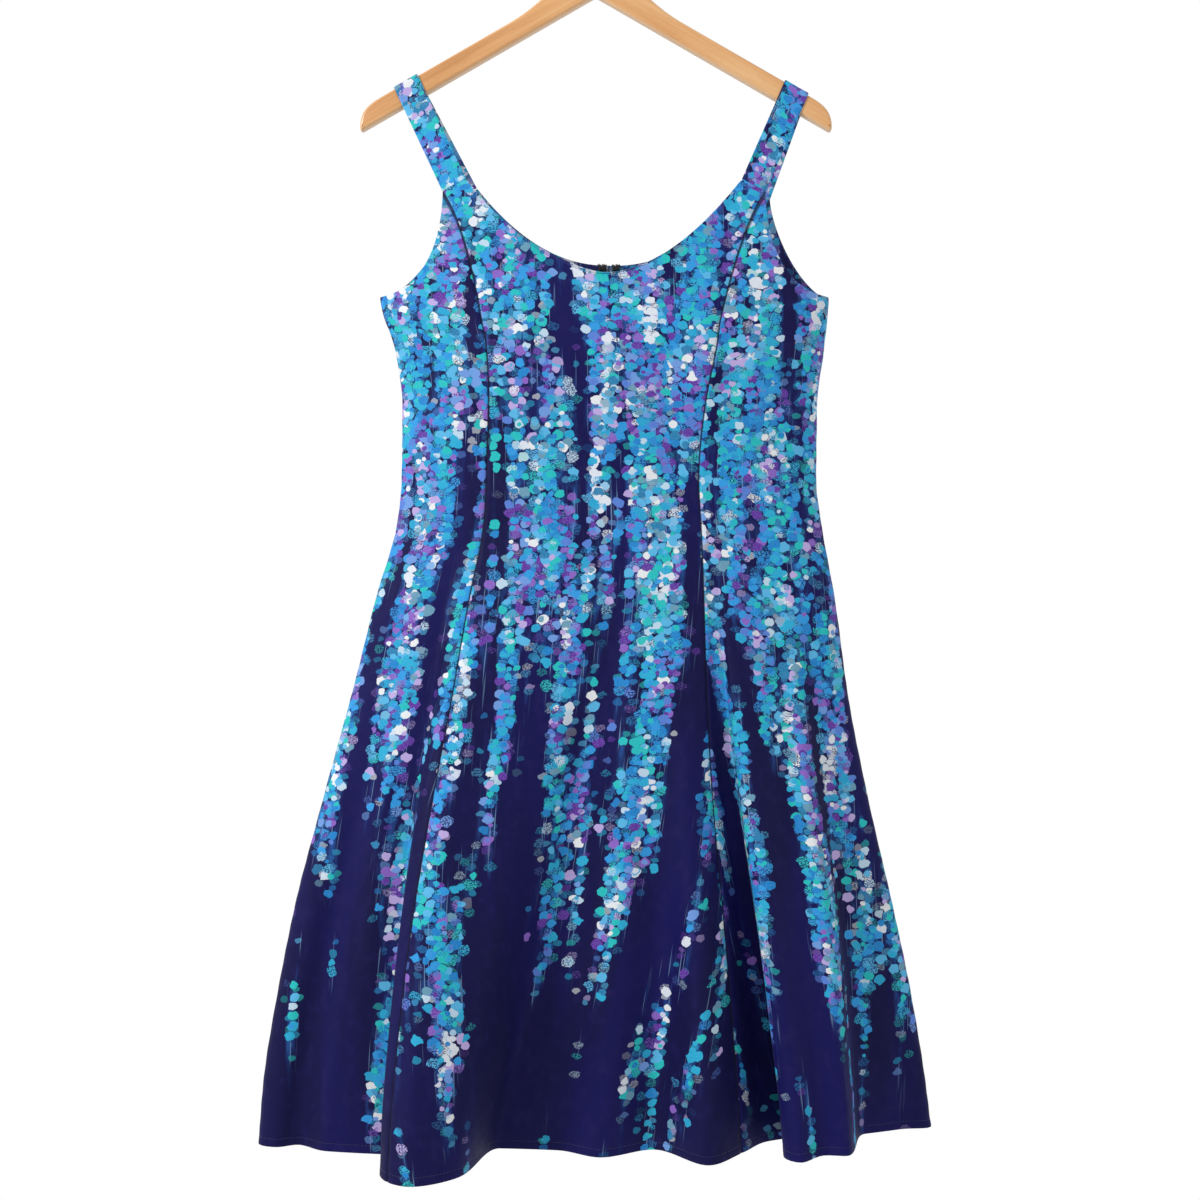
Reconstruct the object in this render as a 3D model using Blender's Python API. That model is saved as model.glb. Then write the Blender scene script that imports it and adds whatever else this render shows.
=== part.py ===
"""Fit and flare dress of printed cotton, hanging by its straps on a flat wooden hanger.

Sizes are in millimetres and become metres when a mesh is made. X runs to the viewer's right, Z up, and
the front of the dress faces -Y. The origin is where a rail carries the hook, so everything hangs below it.
"Out" is a distance towards the front, so Y is minus out; the back of the dress has negative values.
"""

import math
from collections import namedtuple

import bpy
from mathutils import Vector

MM = 0.001

# Cloth
CLOTH = 1.5
SEAM_GAP = 0.3
SIDE_ROUNDING = 2.6
HEM_Z = -1195.0
HEM_LIFT_RIGHT = 8.0
YOKE_Z = -429.0
COLUMN_WIDTH = 21.0
YOKE_ROWS = 5
SKIRT_ROWS = 20

# Neckline, armholes and straps
CENTRE_X = 7.5
BACK_SHIFT = 7.5
UNDERARM_Z = -399.0
JOIN_OUTER = (150.5, -303.0)
JOIN_INNER = (128.5, -291.5)
FRONT_NECK_Z = -383.0
BACK_NECK_Z = -364.0
FRONT_NECK_POWER = 1.85
BACK_NECK_POWER = 2.2
FRONT_ARMHOLE_POWER = 2.2
BACK_ARMHOLE_POWER = 1.45
SEAM_BEND = (128.0, -335.0)
STRAP_TOP_CENTRE_X = 5.0
STRAP_TOP_OUTER = 194.5
STRAP_TOP_INNER = 172.5
STRAP_COLUMNS = 4
JOIN_COLUMNS = 2

# Hanger
HANGER_HALF = 222.0
HANGER_THICK = 12.0
HANGER_SLOPE = math.radians(30.0)
ARM_WIDTH = 19.0
HANGER_EASE = 1.5
HANGER_APEX_Z = -115.5
HANGER_TOP_Z = -58.0
HANGER_NECK_HALF = 11.0
ARM_END_LENGTH = 33.0
FLARE_START = 82.0
FLARE_HANDLE = 26.0
NECK_HANDLE = (10.0, -34.0)
HOOK_WIRE = 3.4
HOOK_INSIDE = 17.0
HOOK_SHANK = 9.0
HOOK_LEAD_DEG = -62.0
HOOK_TURN_DEG = 232.0
HOOK_STEPS = 18

# Closure at the centre back: hook and eye inside the neck edge, zip slider and pull outside
BACK_SEAM_X = 12.5
ZIP_AXIS_Z = -378.0
ZIP_AXIS_OUT = 4.2
ZIP_CLEARANCE = 0.4
SLIDER_ACROSS = (-3.0, -1.8, 1.8, 3.0)
SLIDER_OUT = (0.0, 1.4, ZIP_AXIS_OUT - 0.5, ZIP_AXIS_OUT + 0.5, 5.4)
SLIDER_UP = (-5.0, -2.2, -0.5, 0.5, 2.2, 4.5)
PULL_HALF_WIDTH = 1.5
PULL_LENGTH = 20.0
PULL_THICK = 1.2
PULL_EYE = 0.8
PULL_KNUCKLE = 2.0
THREAD_WIRE = 1.8
CLOSURE_Z = -368.0
CLOSURE_CLEARANCE = 0.7

# Name, distance from the seam, width and height of each wire loop at the neck
WIRE_LOOPS = (
    ("neck_hook", -6.5, 6.4, 4.6),
    ("neck_eye", 6.5, 5.6, 4.0),
)
LOOP_DEGREES = range(-50, 231, 28)

Section = namedtuple("Section", "z left right front back")

# The outline of the dress: its sides as the photograph shows them, and how far the cloth stands out
SECTIONS = (
    Section(-290.0, -204.0, 219.5, 24.0, 19.0),
    Section(-345.0, -204.0, 219.5, 33.0, 23.0),
    Section(-399.0, -203.5, 219.5, 39.0, 25.0),
    Section(-450.0, -189.5, 215.0, 42.0, 26.0),
    Section(-500.0, -183.0, 208.5, 38.0, 25.0),
    Section(-570.0, -184.0, 208.0, 31.0, 24.0),
    Section(-610.0, -188.0, 212.5, 31.0, 27.0),
    Section(-684.0, -208.5, 225.5, 35.0, 34.0),
    Section(-778.0, -232.0, 239.5, 42.0, 44.0),
    Section(-872.0, -258.0, 258.5, 48.0, 52.0),
    Section(-967.0, -283.0, 281.0, 53.0, 60.0),
    Section(-1061.0, -302.0, 301.0, 57.0, 66.0),
    Section(-1140.0, -314.0, 315.0, 59.0, 69.0),
    Section(-1195.0, -318.5, 322.0, 60.0, 70.0),
)
WAIST_Z = -570.0

Fold = namedtuple("Fold", "name bust waist hem out start")

# The lines that run down the cloth, all round from the left side: seams, and the crowns and hollows of
# the folds. bust, waist and hem place a line, as a share of the half width. out is how far the line
# stands out at the hem, and the fold grows from nothing at the height start.
FOLDS = (
    Fold("side_seam_left", -1.00, -1.00, -1.00, 0.0, -646.0),
    Fold("left_edge_lobe", -0.93, -0.93, -0.935, 15.0, -700.0),
    Fold("left_crease", -0.86, -0.84, -0.873, 8.0, -700.0),
    Fold("left_side_lobe", -0.77, -0.76, -0.79, 26.0, -700.0),
    Fold("left_tuck", -0.68, -0.69, -0.585, 36.0, -630.0),
    Fold("left_fold_edge", -0.61, -0.63, -0.606, 88.0, -630.0),
    Fold("princess_left", -0.56, -0.58, -0.578, 110.0, -630.0),
    Fold("left_fold_crown", -0.49, -0.52, -0.515, 122.0, -630.0),
    Fold("left_fold_shoulder", -0.30, -0.26, -0.385, 98.0, -650.0),
    Fold("left_hollow", 0.05, 0.07, -0.285, 18.0, -690.0),
    Fold("left_flat", 0.10, 0.115, -0.115, 24.0, -720.0),
    Fold("middle_crown", 0.15, 0.16, 0.008, 44.0, -760.0),
    Fold("middle_hollow", 0.26, 0.26, 0.16, 22.0, -760.0),
    Fold("right_roll", 0.39, 0.35, 0.314, 66.0, -700.0),
    Fold("princess_right", 0.50, 0.425, 0.416, 34.0, -640.0),
    Fold("right_hollow", 0.53, 0.45, 0.497, 3.0, -640.0),
    Fold("right_tuck", 0.56, 0.48, 0.560, -4.0, -640.0),
    Fold("right_fold_edge", 0.59, 0.51, 0.532, 50.0, -640.0),
    Fold("right_fold_crown", 0.64, 0.57, 0.578, 67.0, -640.0),
    Fold("right_crease", 0.72, 0.71, 0.645, 51.0, -680.0),
    Fold("right_shoulder", 0.79, 0.78, 0.710, 56.0, -680.0),
    Fold("right_side_hollow", 0.88, 0.88, 0.79, -5.0, -680.0),
    Fold("right_edge_lobe", 0.95, 0.95, 0.90, -15.0, -700.0),
    Fold("side_seam_right", 1.00, 1.00, 1.00, -26.0, -646.0),
    Fold("back_right_lobe", 0.88, 0.88, 0.85, -76.0, -680.0),
    Fold("back_right_hollow", 0.72, 0.72, 0.70, -45.0, -680.0),
    Fold("back_right_roll", 0.57, 0.56, 0.54, -110.0, -650.0),
    Fold("back_princess_right", 0.47, 0.45, 0.44, -86.0, -650.0),
    Fold("back_inner_hollow", 0.31, 0.30, 0.30, -52.0, -680.0),
    Fold("back_inner_roll", 0.15, 0.15, 0.14, -94.0, -700.0),
    Fold("zip_seam", 0.00, 0.00, 0.03, -72.0, -700.0),
    Fold("back_middle_hollow", -0.11, -0.11, -0.09, -54.0, -700.0),
    Fold("back_left_roll", -0.29, -0.28, -0.26, -106.0, -680.0),
    Fold("back_princess_left", -0.45, -0.45, -0.42, -60.0, -650.0),
    Fold("back_left_hollow", -0.55, -0.55, -0.52, -43.0, -650.0),
    Fold("back_left_fold", -0.72, -0.71, -0.69, -100.0, -660.0),
    Fold("back_edge_hollow", -0.88, -0.87, -0.86, -38.0, -690.0),
)

# Each panel lies between two seams, named in the order of FOLDS
PANELS = (
    ("front_side_left", "side_seam_left", "princess_left"),
    ("front_centre", "princess_left", "princess_right"),
    ("front_side_right", "princess_right", "side_seam_right"),
    ("back_side_right", "side_seam_right", "back_princess_right"),
    ("back_centre_right", "back_princess_right", "zip_seam"),
    ("back_centre_left", "zip_seam", "back_princess_left"),
    ("back_side_left", "back_princess_left", "side_seam_left"),
)


def mix(a, b, share):
    return a + (b - a) * share


def slopes(knots, values):
    """Slopes of a smooth curve through the values that never runs past them."""
    steps = [
        (values[i + 1] - values[i]) / (knots[i + 1] - knots[i])
        for i in range(len(knots) - 1)
    ]
    inner = [
        0.0 if a * b <= 0 else 2 * a * b / (a + b)
        for a, b in zip(steps, steps[1:])
    ]
    return [steps[0], *inner, steps[-1]]


def smooth(knots, values, tangents, at):
    """The value at one place of the curve whose knots rise."""
    last = len(knots) - 2
    i = next((k for k in range(last) if at < knots[k + 1]), last)
    width = knots[i + 1] - knots[i]
    t = (at - knots[i]) / width
    return (
        values[i] * (1 + 2 * t) * (1 - t) ** 2
        + tangents[i] * width * t * (1 - t) ** 2
        + values[i + 1] * t * t * (3 - 2 * t)
        + tangents[i + 1] * width * t * t * (t - 1)
    )


class Curve:
    """A smooth curve through values at rising knots."""

    def __init__(self, knots, values):
        self.knots = list(knots)
        self.values = list(values)
        self.tangents = slopes(self.knots, self.values)

    def __call__(self, at):
        return smooth(self.knots, self.values, self.tangents, at)


RISING = SECTIONS[::-1]
OUTLINE = {
    side: Curve([s.z for s in RISING], [getattr(s, side) for s in RISING])
    for side in ("left", "right", "front", "back")
}


def middle_and_half(z):
    left = OUTLINE["left"](z)
    right = OUTLINE["right"](z)
    return (left + right) / 2, (right - left) / 2


def plain_out(share, z, side):
    """How far the cloth with no folds stands out, on its front (side 1) or its back (side -1)."""
    depth = OUTLINE["front" if side > 0 else "back"](z)
    return side * depth * math.sqrt(max(0.0, 1 - abs(share) ** SIDE_ROUNDING))


class Ring:
    """The cloth below the yoke: all round at every height, with its seams and folds."""

    def __init__(self):
        self.side_right = [f.name for f in FOLDS].index("side_seam_right")
        self.line_at = self.hem_lengths()
        self.around = self.line_at[-1]
        self.height_curves = [
            Curve([HEM_Z, WAIST_Z, YOKE_Z], [f.hem, f.waist, f.bust]) for f in FOLDS
        ]
        self.cache = {}

    def side_of(self, index):
        return 1 if index <= self.side_right else -1

    def hem_lengths(self):
        """Where each line lies round the hem, in mm of cloth from the left side seam."""
        middle, half = middle_and_half(HEM_Z)
        points = [Vector((middle + half * f.hem, f.out)) for f in FOLDS]
        lengths = [0.0]
        for a, b in zip(points, points[1:] + points[:1]):
            lengths.append(lengths[-1] + (b - a).length)
        return lengths

    def seam(self, name):
        return self.line_at[[f.name for f in FOLDS].index(name)]

    def level(self, z):
        """Curves of share and of fold depth all round at one height, running on past both ends."""
        if z in self.cache:
            return self.cache[z]
        shares = [curve(z) for curve in self.height_curves]
        folds = []
        for i, f in enumerate(FOLDS):
            grown = max(0.0, (f.start - z) / (f.start - HEM_Z)) ** 1.1
            at_hem = plain_out(f.hem, HEM_Z, self.side_of(i))
            folds.append((f.out - at_hem) * grown)
        over = 3
        knots = (
            [k - self.around for k in self.line_at[-1 - over : -1]]
            + self.line_at[:-1]
            + [k + self.around for k in self.line_at[: over + 1]]
        )
        curves = [
            Curve(knots, v[-over:] + v + v[: over + 1]) for v in (shares, folds)
        ]
        self.cache[z] = curves
        return curves

    def point(self, along, z):
        """A point of the outer face, along mm of hem from the left side seam."""
        share_curve, fold_curve = self.level(z)
        at = along % self.around
        share = share_curve(at)
        side = 1 if at <= self.line_at[self.side_right] else -1
        middle, half = middle_and_half(z)
        out = plain_out(share, z, side) + fold_curve(at)
        return Vector((middle + half * share, -out, z))

    def outward(self, along, z):
        """The direction straight out of the cloth."""
        step = 2.0
        across = self.point(along + step, z) - self.point(along - step, z)
        low, high = max(HEM_Z, z - step), min(YOKE_Z, z + step)
        up = self.point(along, high) - self.point(along, low)
        return across.cross(up).normalized()

    def columns(self, start, end):
        """Places along the hem from one seam to the next, a few for each stretch between two lines."""
        knots = [k for k in self.line_at if start <= k <= end]
        places = [start]
        for a, b in zip(knots, knots[1:]):
            count = max(2, round((b - a) / COLUMN_WIDTH))
            places += [mix(a, b, (i + 1) / count) for i in range(count)]
        return places


def hem_height(x):
    """The hem hangs a little shorter on the right."""
    share = min(1.0, max(0.0, (x - 100.0) / 215.0))
    return HEM_Z + HEM_LIFT_RIGHT * share * share * (3 - 2 * share)


def yoke_point(x, z, side):
    middle, half = middle_and_half(z)
    return Vector((x, -plain_out((x - middle) / half, z, side), z))


def yoke_outward(x, z, side):
    step = 1.0
    middle, half = middle_and_half(z)
    if abs(x - middle) > half - step:
        return Vector((math.copysign(1.0, x - middle), 0.0, 0.0))
    across = yoke_point(x + step, z, side) - yoke_point(x - step, z, side)
    up = yoke_point(x, z + step, side) - yoke_point(x, z - step, side)
    return (across.cross(up) * side).normalized()


def centre_x(side):
    """The middle of the neckline. The back hangs a little to the right of the front."""
    return CENTRE_X if side > 0 else CENTRE_X + BACK_SHIFT


def neckline(x, side):
    """The height of the neckline above a place across the body."""
    low = FRONT_NECK_Z if side > 0 else BACK_NECK_Z
    power = FRONT_NECK_POWER if side > 0 else BACK_NECK_POWER
    share = min(1.0, abs(x - centre_x(side)) / JOIN_INNER[0])
    return low + (JOIN_INNER[1] - low) * share**power


def armhole(share, hand, side):
    """A point of the armhole edge, from the underarm (0) to the strap (1). hand is -1 on the left."""
    power = 2 / (FRONT_ARMHOLE_POWER if side > 0 else BACK_ARMHOLE_POWER)
    angle = share * math.pi / 2
    strap_x = centre_x(side) + hand * JOIN_OUTER[0]
    underarm_x = OUTLINE["left" if hand < 0 else "right"](UNDERARM_Z)
    x = mix(underarm_x, strap_x, math.sin(angle) ** power)
    z = mix(JOIN_OUTER[1], UNDERARM_Z, math.cos(angle) ** power)
    return Vector((x, z))


def princess(share, hand, foot_x, side):
    """The upper part of a princess seam, from the strap (0) down to the yoke line (1)."""
    top = Vector((centre_x(side) + hand * JOIN_OUTER[0], JOIN_OUTER[1]))
    bend = Vector((centre_x(side) + hand * SEAM_BEND[0], SEAM_BEND[1]))
    foot = Vector((foot_x, YOKE_Z))
    return top.lerp(bend, share).lerp(bend.lerp(foot, share), share)


def side_edge(share, hand):
    """The side seam between the underarm (0) and the yoke line (1)."""
    z = mix(UNDERARM_Z, YOKE_Z, share)
    return Vector((OUTLINE["left" if hand < 0 else "right"](z), z))


def centre_edge(share, side):
    return Vector((BACK_SEAM_X, neckline(BACK_SEAM_X, side))).lerp(
        Vector((middle_and_half(YOKE_Z)[0], YOKE_Z)), share
    )


def join_and_neck(count, first_hand, last_hand, side):
    """Points along the top of a centre panel: the strap's join at an outer end, and the neckline."""
    joins = [JOIN_COLUMNS if hand else 0 for hand in (first_hand, last_hand)]
    ends = [
        centre_x(side) + hand * JOIN_INNER[0] if hand else BACK_SEAM_X
        for hand in (first_hand, last_hand)
    ]
    points = []
    for i in range(count):
        for hand, place in ((first_hand, i), (last_hand, count - 1 - i)):
            if hand and place < JOIN_COLUMNS:
                outer = Vector((centre_x(side) + hand * JOIN_OUTER[0], JOIN_OUTER[1]))
                inner = Vector((centre_x(side) + hand * JOIN_INNER[0], JOIN_INNER[1]))
                points.append(outer.lerp(inner, place / JOIN_COLUMNS))
                break
        else:
            share = (i - joins[0]) / (count - 1 - sum(joins))
            x = mix(ends[0], ends[1], share)
            points.append(Vector((x, neckline(x, side))))
    return points


class Panel:
    """One cut piece: rows of points of its outer face, from top edge to hem, and their directions out."""

    def __init__(self, ring, name, start, end):
        self.side = 1 if name.startswith("front") else -1
        first = ring.seam(start)
        last = ring.seam(end) or ring.around
        self.columns = ring.columns(first, last)
        feet = [ring.point(along, YOKE_Z) for along in self.columns]
        self.points = []
        self.outward = []
        self.add_yoke(name, feet)
        for row in range(SKIRT_ROWS + 1):
            heights = [
                mix(YOKE_Z, hem_height(ring.point(along, HEM_Z).x), row / SKIRT_ROWS)
                for along in self.columns
            ]
            pairs = list(zip(self.columns, heights))
            self.points.append([ring.point(along, z) for along, z in pairs])
            self.outward.append([ring.outward(along, z) for along, z in pairs])

    def add_yoke(self, name, feet):
        """The rows above the yoke line, blended between the four edges of that part of the panel."""
        count = len(feet)
        side = self.side
        foot_x = [p.x for p in feet]
        hand = -1 if name.endswith("left") else 1
        if "side" in name:
            top = [
                armhole(i / (count - 1), hand, side) for i in range(count)
            ]
            edges = (
                lambda v: side_edge(v, hand),
                lambda v: princess(v, hand, seam_x, side),
            )
            seam_x = foot_x[-1] if hand * side < 0 else foot_x[0]
            if hand * side > 0:
                top.reverse()
                edges = edges[::-1]
        else:
            first_hand, last_hand = {
                "front_centre": (-1, 1),
                "back_centre_right": (1, 0),
                "back_centre_left": (0, -1),
            }[name]
            top = join_and_neck(count, first_hand, last_hand, side)
            edges = tuple(
                (lambda v, h=h, x=x: princess(v, h, x, side) if h else centre_edge(v, side))
                for h, x in ((first_hand, foot_x[0]), (last_hand, foot_x[-1]))
            )
        bottom = [Vector((x, YOKE_Z)) for x in foot_x]
        for row in range(YOKE_ROWS):
            v = row / YOKE_ROWS
            flat = []
            for i in range(count):
                s = i / (count - 1)
                corners = top[0].lerp(top[-1], s).lerp(bottom[0].lerp(bottom[-1], s), v)
                across = edges[0](v).lerp(edges[1](v), s)
                flat.append(top[i].lerp(bottom[i], v) + across - corners)
            self.points.append([yoke_point(p.x, p.y, side) for p in flat])
            self.outward.append([yoke_outward(p.x, p.y, side) for p in flat])


def trimmed(points):
    """Rows whose two side edges are drawn in by half a seam gap."""
    rows = []
    for row in points:
        first = row[0] + (row[1] - row[0]).normalized() * SEAM_GAP / 2
        last = row[-1] + (row[-2] - row[-1]).normalized() * SEAM_GAP / 2
        rows.append([first, *row[1:-1], last])
    return rows


def wall(outer, outward, thickness):
    """Vertices and faces of a closed wall between rows of outer points and the same points moved in."""
    rows, columns = len(outer), len(outer[0])
    inner = [
        [p - n * thickness for p, n in zip(*pair)] for pair in zip(outer, outward)
    ]
    vertices = [p * MM for grid in (outer, inner) for row in grid for p in row]
    shift = rows * columns

    def corner(row, column):
        return row * columns + column

    faces = []
    for r in range(rows - 1):
        for c in range(columns - 1):
            quad = (corner(r, c), corner(r + 1, c), corner(r + 1, c + 1), corner(r, c + 1))
            faces.append(quad)
            faces.append(tuple(shift + i for i in reversed(quad)))
    rim = (
        [corner(0, c) for c in range(columns)]
        + [corner(r, columns - 1) for r in range(1, rows)]
        + [corner(rows - 1, c) for c in range(columns - 2, -1, -1)]
        + [corner(r, 0) for r in range(rows - 2, 0, -1)]
    )
    for a, b in zip(rim, rim[1:] + rim[:1]):
        faces.append((a, b, shift + b, shift + a))
    return vertices, faces


def material(name, colour, roughness, metallic=0.0):
    made = bpy.data.materials.get(name)
    if made is None:
        made = bpy.data.materials.new(name)
        made.use_nodes = True
        shader = made.node_tree.nodes["Principled BSDF"]
        shader.inputs["Base Color"].default_value = (*colour, 1.0)
        shader.inputs["Roughness"].default_value = roughness
        shader.inputs["Metallic"].default_value = metallic
        made.diffuse_color = (*colour, 1.0)
    return made


def cotton():
    return material("printed_cotton", (0.055, 0.12, 0.30), 0.75)


def wood():
    return material("varnished_wood", (0.72, 0.42, 0.18), 0.4)


def steel():
    return material("hook_steel", (0.75, 0.75, 0.76), 0.25, 1.0)


def black_metal():
    return material("black_metal", (0.02, 0.02, 0.025), 0.5, 0.6)


def add_object(name, vertices, faces, finish, sharp_deg=40.0):
    mesh = bpy.data.meshes.new(name)
    mesh.from_pydata(vertices, [], faces)
    mesh.materials.append(finish)
    mesh.shade_smooth()
    mesh.set_sharp_from_angle(angle=math.radians(sharp_deg))
    made = bpy.data.objects.new(name, mesh)
    bpy.context.scene.collection.objects.link(made)
    return made


def hanger_top(x):
    """The height of the arm's top edge."""
    edge = HANGER_APEX_Z + ARM_WIDTH / math.cos(HANGER_SLOPE)
    return edge - abs(x) * math.tan(HANGER_SLOPE)


def strap_path():
    """Out and depth below the hanger's top edge of the strap's outer face where it wraps the arm."""
    face = HANGER_THICK / 2 + SEAM_GAP + CLOTH
    top = SEAM_GAP + CLOTH
    corner = HANGER_EASE + SEAM_GAP + CLOTH
    arc = [math.radians(a) for a in (0, 30, 60, 90)]
    front = [(face, ARM_WIDTH + 2), (face, ARM_WIDTH / 2)]
    front += [
        (face - corner * (1 - math.cos(a)), corner - top - corner * math.sin(a))
        for a in arc
    ]
    return front + [(-out, drop) for out, drop in reversed(front)]


def strap_edge(hand, share, side):
    """The top and foot of a strap line, share of its width in from the armhole."""
    top_x = STRAP_TOP_CENTRE_X + hand * mix(STRAP_TOP_OUTER, STRAP_TOP_INNER, share)
    foot = Vector(JOIN_OUTER).lerp(Vector(JOIN_INNER), share)
    foot.x = centre_x(side) + hand * foot.x
    return Vector((top_x, hanger_top(top_x))), foot


def strap_rows(hand):
    """Rows across the strap from its front join, over the hanger's arm, to its back join."""
    shares = [i / STRAP_COLUMNS for i in range(STRAP_COLUMNS + 1)]
    if hand > 0:
        shares.reverse()
    wrap = strap_path()
    free = 3
    rows = []
    outward = []
    for side in (1, -1):
        part = []
        part_outward = []
        for step in range(free + 1):
            line = []
            line_outward = []
            for share in shares:
                top, foot = strap_edge(hand, share, side)
                down = (foot - top).normalized()
                near_out, near_drop = wrap[0] if side > 0 else wrap[-1]
                near = top + down * near_drop
                end = foot - down * SEAM_GAP
                at = end.lerp(near, step / free)
                foot_out = -yoke_point(end.x, end.y, side).y
                out = mix(foot_out, near_out, step / free)
                line.append(Vector((at.x, -out, at.y)))
                face = yoke_outward(end.x, end.y, side)
                flat = Vector((0.0, -side, 0.0))
                line_outward.append(face.lerp(flat, step / free).normalized())
            part.append(line)
            part_outward.append(line_outward)
        if side > 0:
            rows += part
            outward += part_outward
            for (before, here, after) in zip(wrap, wrap[1:], wrap[2:]):
                line = []
                line_outward = []
                along = Vector(after) - Vector(before)
                for share in shares:
                    top, foot = strap_edge(hand, share, math.copysign(1, here[0]))
                    down = (foot - top).normalized()
                    at = top + down * here[1]
                    line.append(Vector((at.x, -here[0], at.y)))
                    across = Vector((-along.y, along.x)).normalized()
                    line_outward.append(
                        Vector((down.x * across.y, -across.x, down.y * across.y))
                    )
                rows.append(line)
                outward.append(line_outward)
        else:
            rows += part[::-1]
            outward += part_outward[::-1]
    return rows, outward


def add_straps():
    for name, hand in (("strap_left", -1), ("strap_right", 1)):
        rows, outward = strap_rows(hand)
        vertices, faces = wall(rows[::-1], outward[::-1], CLOTH)
        add_object(name, vertices, faces, cotton())


def add_panels():
    ring = Ring()
    for name, start, end in PANELS:
        panel = Panel(ring, name, start, end)
        vertices, faces = wall(trimmed(panel.points), panel.outward, CLOTH)
        add_object(name, vertices, faces, cotton())


def bezier(points, count):
    """Points on a cubic curve, without its last."""
    a, b, c, d = (Vector(p) for p in points)
    return [
        a.lerp(b, t).lerp(b.lerp(c, t), t).lerp(b.lerp(c, t).lerp(c.lerp(d, t), t), t)
        for t in (i / count for i in range(count))
    ]


def hanger_outline():
    """The right half of the hanger seen from the front, from the apex of the V round to the neck."""
    down = Vector((math.cos(HANGER_SLOPE), -math.sin(HANGER_SLOPE)))
    normal = Vector((math.sin(HANGER_SLOPE), math.cos(HANGER_SLOPE)))
    apex = Vector((0.0, HANGER_APEX_Z))
    length = HANGER_HALF / down.x
    under = apex + down * (length - 4)
    tip = apex + down * (length - 0.5) + Vector((0.5, 5.0))
    end_start = apex + normal * ARM_WIDTH + down * (length - ARM_END_LENGTH)
    flare = apex + normal * ARM_WIDTH + down * FLARE_START
    neck = Vector((HANGER_NECK_HALF, HANGER_TOP_Z - 3.0))
    points = [apex, under]
    points += bezier((under + down * 2, under + down * 4, tip - Vector((0, 2.5)), tip), 4)[1:]
    points += bezier((tip, tip + Vector((0, 13)), end_start + down * 15, end_start), 8)
    points += bezier((end_start, end_start - down * 5, flare + down * 5, flare), 2)
    points += bezier((flare, flare - down * FLARE_HANDLE, neck + Vector(NECK_HANDLE), neck), 9)
    points += [neck, Vector((HANGER_NECK_HALF - 3.0, HANGER_TOP_Z))]
    return points


def add_hanger():
    half = hanger_outline()
    outline = half + [Vector((-p.x, p.y)) for p in reversed(half[1:])]
    count = len(outline)
    edge = HANGER_THICK / 2
    vertices = [Vector((p.x, y, p.y)) * MM for y in (-edge, edge) for p in outline]
    faces = [tuple(range(count)), tuple(range(2 * count - 1, count - 1, -1))]
    for i in range(count):
        j = (i + 1) % count
        faces.append((i, i + count, j + count, j))
    made = add_object("hanger_arms", vertices, faces, wood())
    bevel = made.modifiers.new("eased_edges", "BEVEL")
    bevel.width = HANGER_EASE * MM
    bevel.segments = 2
    bevel.limit_method = "ANGLE"
    bevel.angle_limit = math.radians(50)
    return made


def hook_path():
    """The wire's centre line: up out of the wood, round the loop, to the tip."""
    radius = HOOK_INSIDE + HOOK_WIRE / 2
    centre = Vector((0.0, -HOOK_INSIDE))
    foot = Vector((0.0, HANGER_TOP_Z + SEAM_GAP))
    lead = math.radians(HOOK_LEAD_DEG)
    join = centre + Vector((math.cos(lead), math.sin(lead))) * radius
    along = Vector((-math.sin(lead), math.cos(lead)))
    shank = foot + Vector((0.0, HOOK_SHANK))
    path = [foot, shank]
    path += bezier((shank, shank + Vector((0, 6)), join - along * 6, join), 5)[1:]
    for i in range(HOOK_STEPS + 1):
        angle = lead + math.radians(HOOK_TURN_DEG) * i / HOOK_STEPS
        path.append(centre + Vector((math.cos(angle), math.sin(angle))) * radius)
    return path


def add_wire(name, path, y, thick, around, finish):
    """A round wire whose centre line lies in an upright plane, a little slimmer at its last end."""
    vertices = []
    last = len(path) - 1
    for i, p in enumerate(path):
        along = (path[min(last, i + 1)] - path[max(0, i - 1)]).normalized()
        radius = thick / 2 * (0.75 if i == last else 1.0)
        for k in range(around):
            angle = 2 * math.pi * k / around
            sideways = radius * math.cos(angle)
            at = p + Vector((-along.y, along.x)) * sideways
            vertices.append(Vector((at.x, y + radius * math.sin(angle), at.y)) * MM)
    end = last * around
    faces = [tuple(range(around)), tuple(range(end + around - 1, end - 1, -1))]
    for i in range(last):
        for k in range(around):
            a = i * around + k
            b = i * around + (k + 1) % around
            faces.append((a, a + around, b + around, b))
    add_object(name, vertices, faces, finish)


def add_closure():
    """The thread-covered hook and eye on the inside of the back, on each side of its seam."""
    y = -yoke_point(BACK_SEAM_X, CLOSURE_Z - 4, -1).y
    inside = -y - CLOTH - CLOSURE_CLEARANCE - THREAD_WIRE / 2
    for name, from_seam, width, height in WIRE_LOOPS:
        path = []
        for degrees in LOOP_DEGREES:
            angle = math.radians(degrees)
            x = BACK_SEAM_X + from_seam + width / 2 * math.cos(angle)
            path.append(Vector((x, CLOSURE_Z + height / 2 * math.sin(angle))))
        add_wire(name, path, inside, THREAD_WIRE, 8, black_metal())


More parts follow.
